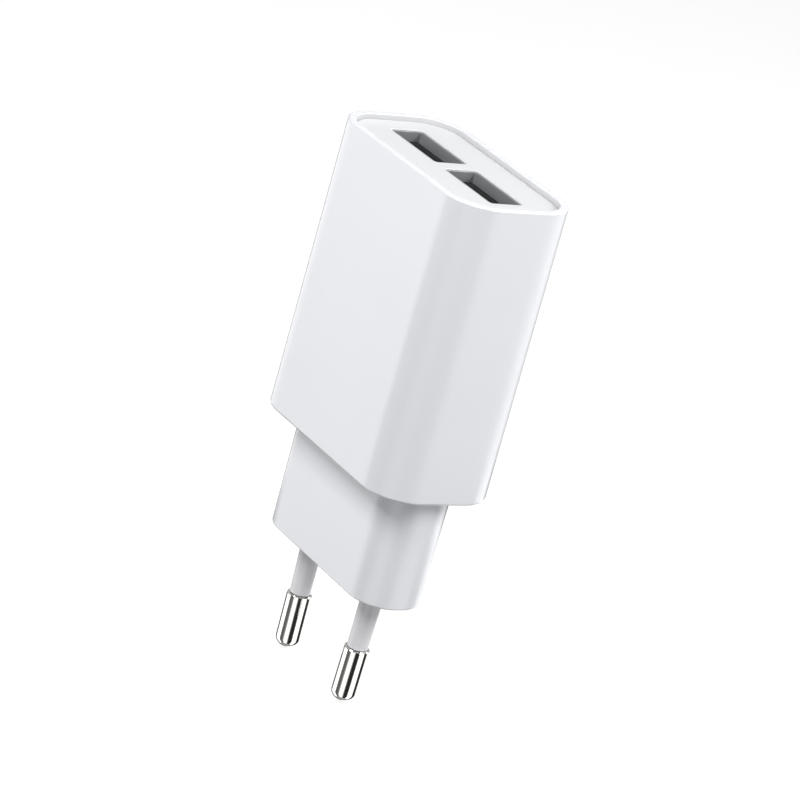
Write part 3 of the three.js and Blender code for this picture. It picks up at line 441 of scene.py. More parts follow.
def rod(bm, radius, depth, segments):
    """A closed round bar about Z, centred on the origin; returns its vertices."""
    return bmesh.ops.create_cone(
        bm, cap_ends=True, segments=segments, radius1=radius, radius2=radius, depth=depth,
    )["verts"]


def slab(bm, width, depth, corner, low, high, segments):
    """A flat solid with round corners between two levels; returns its two outlines."""
    loops = [outline(bm, width, depth, corner, level, segments) for level in (low, high)]
    loft(bm, loops)
    cap(bm, *loops)
    return loops


def arc(centre, radius, start, end, steps):
    """Points on an arc, angles in degrees."""
    angles = [math.radians(start + (end - start) * i / steps) for i in range(steps + 1)]
    return [(centre[0] + radius * math.cos(a), centre[1] + radius * math.sin(a)) for a in angles]


def turned(bm, profile, steps):
    """Turns a closed or axis-to-axis profile of (radius, z) points about Z."""
    verts = [bm.verts.new((radius, 0, z)) for radius, z in profile]
    edges = [bm.edges.new(pair) for pair in zip(verts, verts[1:])]
    bmesh.ops.spin(
        bm, geom=verts + edges, cent=(0, 0, 0), axis=(0, 0, 1), angle=2 * math.pi,
        steps=steps, use_merge=True,
    )


def ribbon(bm, path, width, thickness):
    """A strip bent along a path of (y, z) points, width along X, centred on the path."""
    start = set(bm.faces)
    verts = [bm.verts.new((-width / 2, y, z)) for y, z in path]
    edges = [bm.edges.new(pair) for pair in zip(verts, verts[1:])]
    wide = bmesh.ops.extrude_edge_only(bm, edges=edges)
    move(bm, (width, 0, 0), verts_in(wide["geom"]))
    faces = [face for face in bm.faces if face not in start]
    bmesh.ops.recalc_face_normals(bm, faces=faces)
    for vert in {vert for face in faces for vert in face.verts}:
        vert.co += vert.normal * (thickness / 2)
    bmesh.ops.solidify(bm, geom=faces, thickness=thickness)


def bent(points, radius, steps=4):
    """A polyline with its inner corners rounded."""
    path = [points[0]]
    for before, corner, after in zip(points, points[1:], points[2:]):
        at = Vector(corner)
        back = (Vector(before) - at).normalized()
        on = (Vector(after) - at).normalized()
        half = math.acos(max(-1, min(1, back.dot(on)))) / 2
        reach = radius / math.tan(half)
        middle = at + (back + on).normalized() * (radius / math.sin(half))
        first = (at + back * reach) - middle
        last = (at + on * reach) - middle
        sweep = first.angle_signed(last)
        for i in range(steps + 1):
            turn = Matrix.Rotation(-sweep * i / steps, 2)
            path.append(tuple(middle + turn @ first))
    path.append(points[-1])
    return path


def solid_block(bm, low, high):
    """A box between two opposite corners; returns its vertices."""
    low, high = Vector(map(min, low, high)), Vector(map(max, low, high))
    made = bmesh.ops.create_cube(bm, size=1)["verts"]
    bmesh.ops.scale(bm, vec=high - low, verts=made)
    move(bm, (low + high) / 2, made)
    return made


def wire(bm, points, diameter, sides=12):
    """A round wire through the points, mitred at each and closed at both ends."""
    points = [Vector(point) for point in points]
    ways = [(after - before).normalized() for before, after in zip(points, points[1:])]
    facing = [(before + after).normalized() for before, after in zip(ways, ways[1:])] + [ways[-1]]
    ring = bmesh.ops.create_circle(bm, cap_ends=False, radius=diameter / 2, segments=sides)["verts"]
    turn = Vector((0, 0, 1)).rotation_difference(ways[0]).to_matrix()
    bmesh.ops.rotate(bm, cent=(0, 0, 0), matrix=turn, verts=ring)
    move(bm, points[0], ring)
    first = list({edge for vert in ring for edge in vert.link_edges})
    edges = first
    for at, way, square in zip(points[1:], ways, facing):
        made = bmesh.ops.extrude_edge_only(bm, edges=edges)["geom"]
        ring = set(verts_in(made))
        edges = [part for part in made if isinstance(part, bmesh.types.BMEdge) and set(part.verts) <= ring]
        for vert in ring:
            vert.co += way * ((at - vert.co).dot(square) / way.dot(square))
    cap(bm, first, edges)


def stain(bm, known, index):
    """Gives the faces that were made since known a material slot of their own."""
    for face in set(bm.faces) - known:
        face.material_index = index


def lay_back(bm, x, y, z, verts=None):
    """Tips a piece built along Z so that it points along -Y, and moves it into place."""
    verts = verts or bm.verts
    rotate(bm, QUARTER, "X", verts)
    move(bm, (x, y, z), verts)


def soft_block(bm, low, high, radius, segments=2):
    """A box with rounded edges."""
    verts = solid_block(bm, low, high)
    fillet(bm, {edge for vert in verts for edge in vert.link_edges}, radius, segments)


def middle_of(node):
    low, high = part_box(node)
    return (low + high) / 2


def finish_mesh(bm, name, *materials, merge=0.0002 * MM, smooth_angle=32, weighted=True):
    """Closes off a bmesh into an object with shaded edges."""
    bmesh.ops.remove_doubles(bm, verts=bm.verts, dist=merge)
    bmesh.ops.dissolve_degenerate(bm, edges=bm.edges, dist=merge)
    bmesh.ops.recalc_face_normals(bm, faces=bm.faces)
    for face in bm.faces:
        face.smooth = True
    for edge in bm.edges:
        edge.smooth = edge.is_manifold and edge.calc_face_angle(0) < math.radians(smooth_angle)
    mesh = bpy.data.meshes.new(name)
    bm.to_mesh(mesh)
    bm.free()
    piece = bpy.data.objects.new(name, mesh)
    bpy.context.scene.collection.objects.link(piece)
    for material in materials:
        mesh.materials.append(material)
    if weighted:
        shading = piece.modifiers.new("face_weighted_shading", "WEIGHTED_NORMAL")
        shading.keep_sharp = True
    return piece


def carve(bm, cutter, operation="DIFFERENCE"):
    """Cuts or joins one bmesh with another and returns the result as a new bmesh."""
    objects = []
    for source in (bm, cutter):
        bmesh.ops.recalc_face_normals(source, faces=source.faces)
        mesh = bpy.data.meshes.new("carving")
        source.to_mesh(mesh)
        source.free()
        made = bpy.data.objects.new("carving", mesh)
        bpy.context.scene.collection.objects.link(made)
        objects.append(made)
    blank, tool = objects
    boolean = blank.modifiers.new("carve", "BOOLEAN")
    boolean.operation = operation
    boolean.solver = "EXACT"
    boolean.object = tool
    result = bmesh.new()
    result.from_object(blank, bpy.context.evaluated_depsgraph_get())
    for made in objects:
        mesh = made.data
        bpy.data.objects.remove(made)
        bpy.data.meshes.remove(mesh)
    return result


def settle(piece, nodes):
    """Rides a finished piece on the body in place of its CAD nodes."""
    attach(piece, "root")
    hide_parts(*nodes)
    return piece


# ---------------------------------------------------------------- sizes shared by the pieces

BODY_CORNER = 6.8 * MM
BODY_EDGE = 0.5 * MM
BODY_DRAFT = 0.17 * MM
WALL = 1.8 * MM
RIM_WIDTH = 1.2 * MM
PLUG_CORNER = 5.7 * MM
PLUG_WALL = 2.0 * MM
PLUG_DRAFT = 0.15 * MM
PLUG_WIDTH = 33.7 * MM
PLUG_DEPTH = 12.4 * MM
PIN_SPACING = 18.6 * MM
PIN_TIP_SPACING = 17.6 * MM
PORT_WIDTH = 12.5 * MM
PORT_HEIGHT = 5.12 * MM
SHELL_THICKNESS = 0.3 * MM
SHELL_CORNER = 0.6 * MM
PORT_LENGTH = 14.0 * MM
SPRING_WIDTH = 2.2 * MM
TAB_SETBACK = 8.2 * MM
TAB_HALF = 0.6 * MM
PANEL_THICKNESS = 2.0 * MM
LEG_WIDTH = 5.0 * MM
HOOK = 0.45 * MM
HOOK_HEIGHT = 2.0 * MM
SLEEVE_HOLE_RADIUS = 1.825 * MM
PIN_BORE_RADIUS = 1.5 * MM
COLLAR_POCKET_RADIUS = 3.0 * MM
FIT = 0.1 * MM
LEAD_FIT = 0.15 * MM
AIR = 0.3 * MM

HOUSING_LOW, HOUSING_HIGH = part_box("housing")
PANEL_LOW, PANEL_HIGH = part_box("port_panel")
PIN_LOW, PIN_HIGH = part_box("pin_left")
MOUNTS = {mount["name"]: mount for mount in frame["record"]["mounts"]}

BODY_WIDTH = HOUSING_HIGH.x - HOUSING_LOW.x
BODY_DEPTH = HOUSING_HIGH.y - HOUSING_LOW.y
RIM_Z = HOUSING_HIGH.z
SHOULDER_Z = MOUNTS["shoulder_face"]["pos_m"][2]
PANEL_TOP_Z = PANEL_HIGH.z
LEDGE_Z = PANEL_TOP_Z - PANEL_THICKNESS
FLOOR_Z = SHOULDER_Z + WALL
PIN_LENGTH = -PIN_LOW.z
PIN_TILT = math.atan((PIN_SPACING - PIN_TIP_SPACING) / 2 / PIN_LENGTH)
CAVITY = (BODY_WIDTH - 2 * (BODY_DRAFT + WALL), BODY_DEPTH - 2 * (BODY_DRAFT + WALL))
SEAT = (BODY_WIDTH - 2 * (BODY_DRAFT + RIM_WIDTH), BODY_DEPTH - 2 * (BODY_DRAFT + RIM_WIDTH))
PANEL_HOOK = CAVITY[0] / 2 - FIT + HOOK
INNER_EDGE = 0.15 * MM
SIDES = {"left": -1, "right": 1}


# ---------------------------------------------------------------- housing

def at_pin(bm, side, verts=None):
    """Leans a piece built about Z at the origin into a pin's place."""
    verts = verts or bm.verts
    rotate(bm, side * PIN_TILT, "Y", verts)
    move(bm, (side * PIN_SPACING / 2, 0, 0), verts)


def drill(cutter, side, radius, low, high, segments=40):
    """A round cutter leaning with one pin."""
    made = rod(cutter, radius, high - low, segments)
    move(cutter, (0, 0, (low + high) / 2), made)
    at_pin(cutter, side, made)


def sleeve_holes():
    cutter = bmesh.new()
    reach = 3 * MM
    for side in SIDES.values():
        drill(cutter, side, SLEEVE_HOLE_RADIUS, -reach, reach, 48)
    return cutter


def hook_pockets():
    """Pockets in the end walls for the panel's hooks."""
    cutter = bmesh.new()
    half = LEG_WIDTH / 2 + AIR
    low = PANEL_LOW.z - LEAD_FIT
    high = PANEL_LOW.z + HOOK_HEIGHT + LEAD_FIT
    for side in SIDES.values():
        near = side * (CAVITY[0] / 2 - AIR)
        far = side * (PANEL_HOOK + LEAD_FIT)
        solid_block(cutter, (near, -half, low), (far, half, high))
    return cutter


def board_rails():
    """Pairs of rails on the end walls that hold the board's long edges."""
    rails = bmesh.new()
    rail = 0.8 * MM
    board_low, board_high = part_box("main_board")
    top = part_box("usb_shell_left")[0].z
    for side in SIDES.values():
        near = side * (board_high.x - rail / 2)
        far = side * (CAVITY[0] / 2 + FIT)
        for y in (board_high.y + LEAD_FIT, board_low.y - LEAD_FIT - rail):
            solid_block(rails, (near, y, FLOOR_Z - FIT), (far, y + rail, top))
    return rails


def depth_inside(point, width, depth, corner):
    """How far a point lies inside a rounded-rectangle outline about Z."""
    x = abs(point.x) - (width / 2 - corner)
    y = abs(point.y) - (depth / 2 - corner)
    return corner - math.hypot(max(x, 0), max(y, 0)) - min(max(x, y), 0)


def is_inside(point):
    """Whether a point of the case is on its inner side, below the edge of the rim; these faces take the
    painted shade of the inside finish.
    """
    if point.z > SHOULDER_Z + WALL / 2:
        deep = depth_inside(point, BODY_WIDTH, BODY_DEPTH, BODY_CORNER) > BODY_DRAFT + RIM_WIDTH / 2
        return deep and point.z < RIM_Z - INNER_EDGE
    deep = depth_inside(point, PLUG_WIDTH, PLUG_DEPTH, PLUG_CORNER) > PLUG_DRAFT + PLUG_WALL / 2
    return deep and point.z > PLUG_WALL / 2


def make_housing():
    bm = bmesh.new()
    n = 14
    plug_face = (PLUG_WIDTH - 2 * PLUG_DRAFT, PLUG_DEPTH - 2 * PLUG_DRAFT)
    plug_hollow = (
        PLUG_WIDTH - 2 * (PLUG_DRAFT + PLUG_WALL), PLUG_DEPTH - 2 * (PLUG_DRAFT + PLUG_WALL),
    )
    rim = (BODY_WIDTH - 2 * BODY_DRAFT, BODY_DEPTH - 2 * BODY_DRAFT)
    foot = outline(bm, *plug_face, PLUG_CORNER - PLUG_DRAFT, 0, n)
    step = outline(bm, PLUG_WIDTH, PLUG_DEPTH, PLUG_CORNER, SHOULDER_Z, n)
    shoulder = outline(bm, BODY_WIDTH, BODY_DEPTH, BODY_CORNER, SHOULDER_Z, n)
    rim_outer = outline(bm, *rim, BODY_CORNER - BODY_DRAFT, RIM_Z, n)
    rim_inner = outline(bm, *SEAT, BODY_CORNER - RIM_WIDTH, RIM_Z, n)
    seat = outline(bm, *SEAT, BODY_CORNER - RIM_WIDTH, LEDGE_Z, n)
    ledge = outline(bm, *CAVITY, BODY_CORNER - WALL, LEDGE_Z, n)
    floor = outline(bm, *CAVITY, BODY_CORNER - WALL, FLOOR_Z, n)
    mouth = outline(bm, *plug_hollow, PLUG_CORNER - PLUG_WALL, FLOOR_Z, n)
    bottom = outline(bm, *plug_hollow, PLUG_CORNER - PLUG_WALL, PLUG_WALL, n)
    loft(bm, [foot, step, shoulder, rim_outer, rim_inner, seat, ledge, floor, mouth, bottom])
    cap(bm, foot, bottom)
    fillet(bm, foot, 0.35 * MM, 4)
    fillet(bm, shoulder, BODY_EDGE, 5)
    fillet(bm, rim_outer, 0.3 * MM, 4)
    fillet(bm, rim_inner, INNER_EDGE, 3)
    fillet(bm, step, 0.2 * MM, 3)
    bm = carve(bm, sleeve_holes())
    bm = carve(bm, hook_pockets())
    bm = carve(bm, board_rails(), "UNION")
    shell = finish_mesh(bm, "case_shell", WHITE_CASE, CASE_INSIDE_PAINTED_SHADE)
    # Faces inside the rim and the plug's hollow take the darker finish: painted shade on the recess wall
    # above the panel and inside the case.
    for face in shell.data.polygons:
        if is_inside(face.center):
            face.material_index = 1
    return settle(shell, ["housing"])


# ---------------------------------------------------------------- port panel

def snap_leg(side):
    """A leg on the panel's underside, with a hook that snaps into the end wall."""
    outer = CAVITY[0] / 2 - FIT
    inner = outer - 1.2 * MM
    tip = PANEL_LOW.z
    root = LEDGE_Z + 0.5 * MM
    leg = bmesh.new()
    profile = [
        (inner, root), (inner, tip), (outer - HOOK, tip), (outer + HOOK, tip + 1.0 * MM),
        (outer + HOOK, tip + 1.55 * MM), (outer, tip + HOOK_HEIGHT), (outer, root),
    ]
    verts = [leg.verts.new((side * x, -LEG_WIDTH / 2, z)) for x, z in profile]
    face = leg.faces.new(verts)
    moved = bmesh.ops.extrude_face_region(leg, geom=[face])["geom"]
    move(leg, (0, LEG_WIDTH, 0), verts_in(moved))
    return leg


def port_centre(side):
    low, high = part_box("usb_shell_" + side)
    return (low.x + high.x) / 2


def make_panel():
    bm = bmesh.new()
    size = (SEAT[0] - 2 * FIT, SEAT[1] - 2 * FIT)
    upper = slab(bm, *size, BODY_CORNER - RIM_WIDTH - FIT, LEDGE_Z, PANEL_TOP_Z, 14)[1]
    fillet(bm, upper, 0.15 * MM, 3)
    cutter = bmesh.new()
    hole = (PORT_WIDTH + 2 * (SHELL_THICKNESS + FIT), PORT_HEIGHT + 2 * (SHELL_THICKNESS + FIT))
    flare = 0.12 * MM
    wide = (hole[0] + 2 * flare, hole[1] + 2 * flare)
    corner = SHELL_CORNER + FIT
    for side in SIDES:
        centre = (port_centre(side), 0)
        below = outline(cutter, *hole, corner, LEDGE_Z - AIR, 5, centre)
        start = outline(cutter, *hole, corner, PANEL_TOP_Z - flare, 5, centre)
        edge = outline(cutter, *wide, corner + flare, PANEL_TOP_Z, 5, centre)
        above = outline(cutter, *wide, corner + flare, PANEL_TOP_Z + AIR, 5, centre)
        loft(cutter, [below, start, edge, above])
        cap(cutter, below, above)
    bm = carve(bm, cutter)
    for side in SIDES.values():
        bm = carve(bm, snap_leg(side), "UNION")
    return settle(finish_mesh(bm, "port_plate", WHITE_PANEL_PAINTED_SHADE), ["port_panel"])


# ---------------------------------------------------------------- pins and sleeves

def make_pin(side_name):
    bm = bmesh.new()
    radius = 2.0 * MM
    core = 1.2 * MM
    nose = 1.45 * MM
    step_z = -10.1 * MM
    head = 1.6 * MM
    soft = 0.2 * MM
    head_low = 9.1 * MM
    head_high = 9.7 * MM
    chamfer = 0.12 * MM
    profile = [(0, -PIN_LENGTH)]
    profile += arc((radius - nose, -PIN_LENGTH + nose), nose, -90, 0, 12)
    profile += [(radius, step_z - chamfer)]
    profile += [(radius - chamfer, step_z), (core, step_z), (core, head_low)]
    profile += [(head, head_low)]
    profile += arc((head - soft, head_high - soft), soft, 0, 90, 3)
    profile += [(0, head_high + 0.1 * MM)]
    turned(bm, profile, 64)
    at_pin(bm, SIDES[side_name])
    name = "plug_pin_" + side_name
    return settle(finish_mesh(bm, name, NICKEL), ["pin_" + side_name])


def make_sleeve(side_name):
    bm = bmesh.new()
    bore = 1.3 * MM
    end = -10 * MM
    tip = 1.64 * MM
    base = 1.76 * MM
    collar = 2.7 * MM
    collar_low = 2.1 * MM
    collar_high = 3.0 * MM
    lip = 0.08 * MM
    profile = [(bore, end), (tip - lip, end), (tip, end + lip), (base, -1.0 * MM)]
    profile += [(base, collar_low), (collar - lip, collar_low), (collar, collar_low + lip)]
    profile += [(collar, collar_high - lip), (collar - lip, collar_high), (bore, collar_high)]
    turned(bm, profile + [profile[0]], 48)
    at_pin(bm, SIDES[side_name])
    name = "insulating_sleeve_" + side_name
    return settle(finish_mesh(bm, name, SLEEVE_PLASTIC), ["pin_sleeve_" + side_name])


# ---------------------------------------------------------------- ports

def shell_windows(cutter, centre, mouth):
    """Three-sided slits around each spring leaf in the long walls."""
    length = 4.5 * MM
    slit = 0.4 * MM
    low = mouth - 7.0 * MM
    for side in (-1, 1):
        for wall in (-1, 1):
            x = centre + side * PORT_WIDTH / 4
            y = wall * (PORT_HEIGHT + SHELL_THICKNESS) / 2
            near = y - SHELL_THICKNESS
            far = y + SHELL_THICKNESS
            outer = SPRING_WIDTH / 2 + slit
            solid_block(cutter, (x - outer, near, low), (x + outer, far, low + length))


def spring_leaf(bm, x, wall, mouth):
    """A leaf that dips into the port and turns up at its free end."""
    y = wall * (PORT_HEIGHT + SHELL_THICKNESS) / 2
    dip = -wall * 0.45 * MM
    root = mouth - 7.2 * MM
    path = bent([
        (y, root), (y, root + 0.7 * MM), (y + dip, root + 3.3 * MM), (y + dip * 0.55, root + 4.2 * MM),
    ], 0.6 * MM)
    start = set(bm.verts)
    ribbon(bm, path, SPRING_WIDTH, SHELL_THICKNESS * 0.9)
    move(bm, (x, 0, 0), since(bm, start))


def make_port_shell(side_name):
    bm = bmesh.new()
    centre = port_centre(side_name)
    low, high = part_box("usb_shell_" + side_name)
    mouth = high.z
    rear = mouth - PORT_LENGTH
    n = 5
    inner = (PORT_WIDTH, PORT_HEIGHT)
    outer = (PORT_WIDTH + 2 * SHELL_THICKNESS, PORT_HEIGHT + 2 * SHELL_THICKNESS)
    loops = [
        outline(bm, *outer, SHELL_CORNER, rear, n, (centre, 0)),
        outline(bm, *outer, SHELL_CORNER, mouth, n, (centre, 0)),
        outline(bm, *inner, SHELL_CORNER - SHELL_THICKNESS, mouth, n, (centre, 0)),
        outline(bm, *inner, SHELL_CORNER - SHELL_THICKNESS, rear, n, (centre, 0)),
    ]
    loft(bm, loops + [loops[0]])
    fillet(bm, loops[1], 0.08 * MM, 2)
    fillet(bm, loops[2], 0.12 * MM, 3)
    cutter = bmesh.new()
    shell_windows(cutter, centre, mouth)
    bm = carve(bm, cutter)
    leaves = bmesh.new()
    for side in (-1, 1):
        for wall in (-1, 1):
            spring_leaf(leaves, centre + side * PORT_WIDTH / 4, wall, mouth)
    for edge in (-1, 1):
        tab_x = centre + edge * (PORT_WIDTH + SHELL_THICKNESS) / 2
        tab_z = mouth - TAB_SETBACK
        solid_block(
            leaves,
            (tab_x - SHELL_THICKNESS / 2, low.y, tab_z - TAB_HALF),
            (tab_x + SHELL_THICKNESS / 2, 0.4 * MM, tab_z + TAB_HALF),
        )
    bm = carve(bm, leaves, "UNION")
    name = "port_shell_" + side_name
    return settle(finish_mesh(bm, name, PORT_STEEL), ["usb_shell_" + side_name])


TONGUE_TOP = PORT_HEIGHT / 2 - 0.66 * MM
TONGUE_UNDER = TONGUE_TOP - 1.84 * MM
CONTACT_OFFSETS = [-3.5 * MM, -1.0 * MM, 1.0 * MM, 3.5 * MM]
CONTACT_WIDTH = 1.0 * MM
CONTACT_THICKNESS = 0.25 * MM


def make_insulator(side_name):
    node = "usb_insulator_" + side_name
    low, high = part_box(node)
    centre = (low.x + high.x) / 2
    base_top = low.z + 3.0 * MM
    bm = bmesh.new()
    base = solid_block(bm, low, (high.x, high.y, base_top))
    fillet(bm, {edge for vert in base for edge in vert.link_edges}, 0.15 * MM, 2)
    tongue = bmesh.new()
    half = 5.55 * MM
    solid_block(
        tongue, (centre - half, TONGUE_UNDER, base_top - 0.5 * MM), (centre + half, TONGUE_TOP, high.z),
    )
    tip = [edge for edge in tongue.edges if all(vert.co.z > high.z - 1e-7 for vert in edge.verts)]
    fillet(tongue, tip, 0.42 * MM, 4)
    bm = carve(bm, tongue, "UNION")
    cutter = bmesh.new()
    for offset in CONTACT_OFFSETS:
        x = centre + offset
        solid_block(
            cutter,
            (x - CONTACT_WIDTH / 2 - FIT, TONGUE_UNDER - CONTACT_THICKNESS - 3 * FIT, low.z - AIR),
            (x + CONTACT_WIDTH / 2 + FIT, TONGUE_UNDER + 0.12 * MM, base_top + 7.6 * MM),
        )
    bm = carve(bm, cutter)
    return settle(finish_mesh(bm, "port_tongue_" + side_name, PORT_BLACK), [node])


def make_contact(side_name, index):
    """A sprung leaf under the tongue, with a rounded wiping bump and a soldered tail."""
    node = f"usb_contact_{side_name}_{index}"
    low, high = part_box(node)
    leaf = TONGUE_UNDER - FIT - CONTACT_THICKNESS / 2
    bump = 0.45 * MM
    tail = low.z + CONTACT_THICKNESS / 2
    path = bent([
        (leaf - bump / 3, high.z - 0.05 * MM),
        (leaf - bump, high.z - 1.4 * MM),
        (leaf, high.z - 4.2 * MM),
        (leaf, tail),
        (low.y, tail),
    ], 0.5 * MM, 6)
    bm = bmesh.new()
    ribbon(bm, path, CONTACT_WIDTH, CONTACT_THICKNESS)
    move(bm, ((low.x + high.x) / 2, 0, 0))
    name = f"port_contact_{side_name}_{index}"
    return settle(finish_mesh(bm, name, GOLD), [node])


# ---------------------------------------------------------------- pin clamp and mains strips

def make_pin_clamp():
    """The insert that holds both pins, bored for their cores and pocketed for the sleeves' collars."""
    low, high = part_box("pin_carrier")
    collar_pocket = 1.2 * MM
    size = (high.x - low.x, high.y - low.y)
    corner = PLUG_CORNER - PLUG_WALL - AIR
    bm = bmesh.new()
    lower, upper = slab(bm, *size, corner, low.z, high.z, 10)
    fillet(bm, lower + upper, 0.25 * MM, 3)
    holes = {PIN_BORE_RADIUS: high.z + AIR, COLLAR_POCKET_RADIUS: low.z + collar_pocket}
    for radius, top in holes.items():
        cutter = bmesh.new()
        for side in SIDES.values():
            drill(cutter, side, radius, low.z - AIR, top)
        bm = carve(bm, cutter)
    return settle(finish_mesh(bm, "pin_clamp", INSERT_WHITE), ["pin_carrier"])


def make_mains_strip(side_name):
    """A copper strip with a round eyelet under the pin's rivet, bent up to the board."""
    node = "mains_strip_" + side_name
    low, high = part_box(node)
    thickness = 0.4 * MM
    foot = low.z + thickness / 2
    pad = low.y + thickness / 2
    x = (low.x + high.x) / 2
    bm = bmesh.new()
    path = bent([(1.0 * MM, foot), (pad, foot), (pad, high.z)], 0.5 * MM, 6)
    ribbon(bm, path, 3.0 * MM, thickness)
    move(bm, (x, 0, 0))
    eyelet = bmesh.new()
    rod(eyelet, high.y, thickness, 48)
    move(eyelet, (x, 0, foot))
    bm = carve(bm, eyelet, "UNION")
    cutter = bmesh.new()
    drill(cutter, SIDES[side_name], PIN_BORE_RADIUS, foot - AIR * 2, foot + AIR * 2)
    bm = carve(bm, cutter)
    return settle(finish_mesh(bm, "copper_strip_" + side_name, COPPER_STRIP), [node])


# ---------------------------------------------------------------- leads

LEAD = 0.6 * MM
LEAD_BEND = 0.45 * MM
LEAD_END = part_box("y_capacitor")[0].y
BOARD_LOW, BOARD_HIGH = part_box("main_board")
LEAD_PLACES = []
PAD_PLACES = []


def straight_lead(bm, x, top, z):
    """A lead from height top down through the board, which gets a hole and a joint for it."""
    LEAD_PLACES.append((x, z))
    wire(bm, [(x, top, z), (x, LEAD_END, z)], LEAD)


# ---------------------------------------------------------------- capacitors

def make_can(node, sleeve):
    """An electrolytic can lying on the board: crimped sleeve, vented top, bung and bent leads."""
    low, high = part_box(node)
    radius = (high.x - low.x) / 2
    x = (low.x + high.x) / 2
    y = high.y - radius
    length = 11.5 * MM
    base = high.z - length
    curl = 0.4 * MM
    mouth = radius - 2 * curl
    dip = 0.1 * MM
    groove = 2.0 * MM
    bm = bmesh.new()
    profile = [(0, dip), (mouth, dip), (mouth, 0)]
    profile += arc((radius - curl, curl), curl, -90, 0, 5)
    profile += [(radius, groove - curl)]
    profile += arc((radius, groove), curl, -90, -270, 8)[1:-1]
    profile += [(radius, groove + curl)]
    profile += arc((radius - curl, length - curl), curl, 0, 90, 5)
    profile += [(mouth, length), (mouth, length - dip), (0, length - dip)]
    turned(bm, profile, 64)
    bmesh.ops.remove_doubles(bm, verts=bm.verts, dist=0.0002 * MM)
    score = mouth * 0.72
    for turn in (0, QUARTER):
        cutter = bmesh.new()
        half = 0.09 * MM
        solid_block(cutter, (-score, -half, length - 2 * dip), (score, half, length + dip))
        rotate(cutter, turn, "Z")
        bm = carve(bm, cutter)
    for face in bm.faces:
        middle = face.calc_center_median()
        across = middle.xy.length
        if across < mouth:
            face.material_index = 2 if middle.z < length / 2 else 1
        elif middle.x < 0 and abs(middle.y) < radius * 0.32 and across > radius - curl * 1.2:
            face.material_index = 3
    move(bm, (x, y, base))
    pitch = 3.5 * MM
    bend = base - 0.8 * MM
    known = set(bm.faces)
    for side in (-1, 1):
        lead_x = x + side * pitch / 2
        path = bent([(y, base + 2 * dip), (y, bend), (LEAD_END, bend)], LEAD_BEND)
        wire(bm, [(lead_x, *point) for point in path], LEAD)
        LEAD_PLACES.append((lead_x, bend))
    stain(bm, known, 4)
    piece = finish_mesh(bm, "can_" + node, sleeve, ALUMINIUM, RUBBER, STRIPE, TINNED)
    return settle(piece, [node])


def make_disc_capacitor():
    """A dipped disc on two leads, with the epoxy run a little way down each."""
    node = "y_capacitor"
    low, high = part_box(node)
    radius = (high.x - low.x) / 2
    half = (high.z - low.z) / 2
    rim = 0.75 * MM
    place = Vector(((low.x + high.x) / 2, high.y - radius, (low.z + high.z) / 2))
    bm = bmesh.new()
    lens = [(0, -half), (radius * 0.45, -half * 0.96), (radius * 0.75, -half * 0.8)]
    edge = arc((radius - rim, 0), rim, -60, 60, 10)
    turned(bm, lens + edge + [(across, -level) for across, level in reversed(lens)], 64)
    move(bm, place)
    pitch = 5.0 * MM
    neck = place.y - radius * 0.3
    for side in (-1, 1):
        x = place.x + side * pitch / 2
        wire(bm, [(x, neck, place.z), (x, low.y + 3.0 * MM, place.z)], LEAD * 1.7)
    known = set(bm.faces)
    for side in (-1, 1):
        straight_lead(bm, place.x + side * pitch / 2, neck, place.z)
    stain(bm, known, 1)
    return settle(finish_mesh(bm, "disc_capacitor", DISC_BLUE, TINNED), [node])


# ---------------------------------------------------------------- fuse, bridge and inductor

def make_fuse():
    """A dumb-bell bodied fusible resistor with colour bands and bent leads."""
    node = "fuse_resistor"
    low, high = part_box(node)
    radius = (high.z - low.z) / 2
    z = (low.z + high.z) / 2
    x = (low.x + high.x) / 2
    y = high.y - radius
    length = 6.2 * MM
    pitch = 8.6 * MM
    waist = radius - 0.15 * MM
    bulb = length / 4
    soft = 0.4 * MM
    band = 0.45 * MM
    bands = {bulb + 0.55 * MM: 1, bulb + 1.45 * MM: 1, length - bulb - 0.9 * MM: 2}
    bm = bmesh.new()
    profile = [(0, 0)] + arc((radius - soft, soft), soft, -90, 0, 5)
    profile += [(radius, bulb - soft), (waist, bulb)]
    for start in bands:
        profile += [(waist, start), (waist, start + band)]
    profile += [(waist, length - bulb), (radius, length - bulb + soft)]
    profile += arc((radius - soft, length - soft), soft, 0, 90, 5) + [(0, length)]
    turned(bm, profile, 40)
    for face in bm.faces:
        level = face.calc_center_median().z
        for start, index in bands.items():
            if start < level < start + band:
                face.material_index = index
    rotate(bm, QUARTER, "Y")
    move(bm, (x - length / 2, y, z))
    known = set(bm.faces)
    ends = [x - pitch / 2, x + pitch / 2]
    path = bent([(ends[0], LEAD_END), (ends[0], y), (ends[1], y), (ends[1], LEAD_END)], LEAD_BEND)
    wire(bm, [(*point, z) for point in path], LEAD)
    LEAD_PLACES.extend((end, z) for end in ends)
    stain(bm, known, 3)
    piece = finish_mesh(bm, "fusible_resistor", FUSE_COAT, BAND_BROWN, BAND_GOLD, TINNED)
    return settle(piece, [node])


def make_bridge():
    node = "bridge_rectifier"
    low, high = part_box(node)
    bottom = BOARD_HIGH.y + AIR
    bm = bmesh.new()
    soft_block(bm, (low.x, bottom, low.z), high, 0.3 * MM, 3)
    mark = bmesh.new()
    rod(mark, 0.4 * MM, 0.2 * MM, 24)
    lay_back(mark, low.x + 0.9 * MM, high.y, high.z - 0.9 * MM)
    bm = carve(bm, mark)
    known = set(bm.faces)
    for x in (low.x + LEAD, high.x - LEAD):
        for z in (low.z + LEAD, high.z - LEAD):
            straight_lead(bm, x, bottom + AIR, z)
    stain(bm, known, 1)
    return settle(finish_mesh(bm, "mains_bridge", PACKAGE_BLACK, TINNED), [node])


DRUM_FLANGE = 1.0 * MM
DRUM_WAIST = 1.2 * MM


def stand_on_board(bm, node):
    """Turns a piece built up Z from the origin so that it stands on the board's upper side."""
    place = middle_of(node)
    rotate(bm, -QUARTER, "X")
    move(bm, (place.x, BOARD_HIGH.y + AIR, place.z))


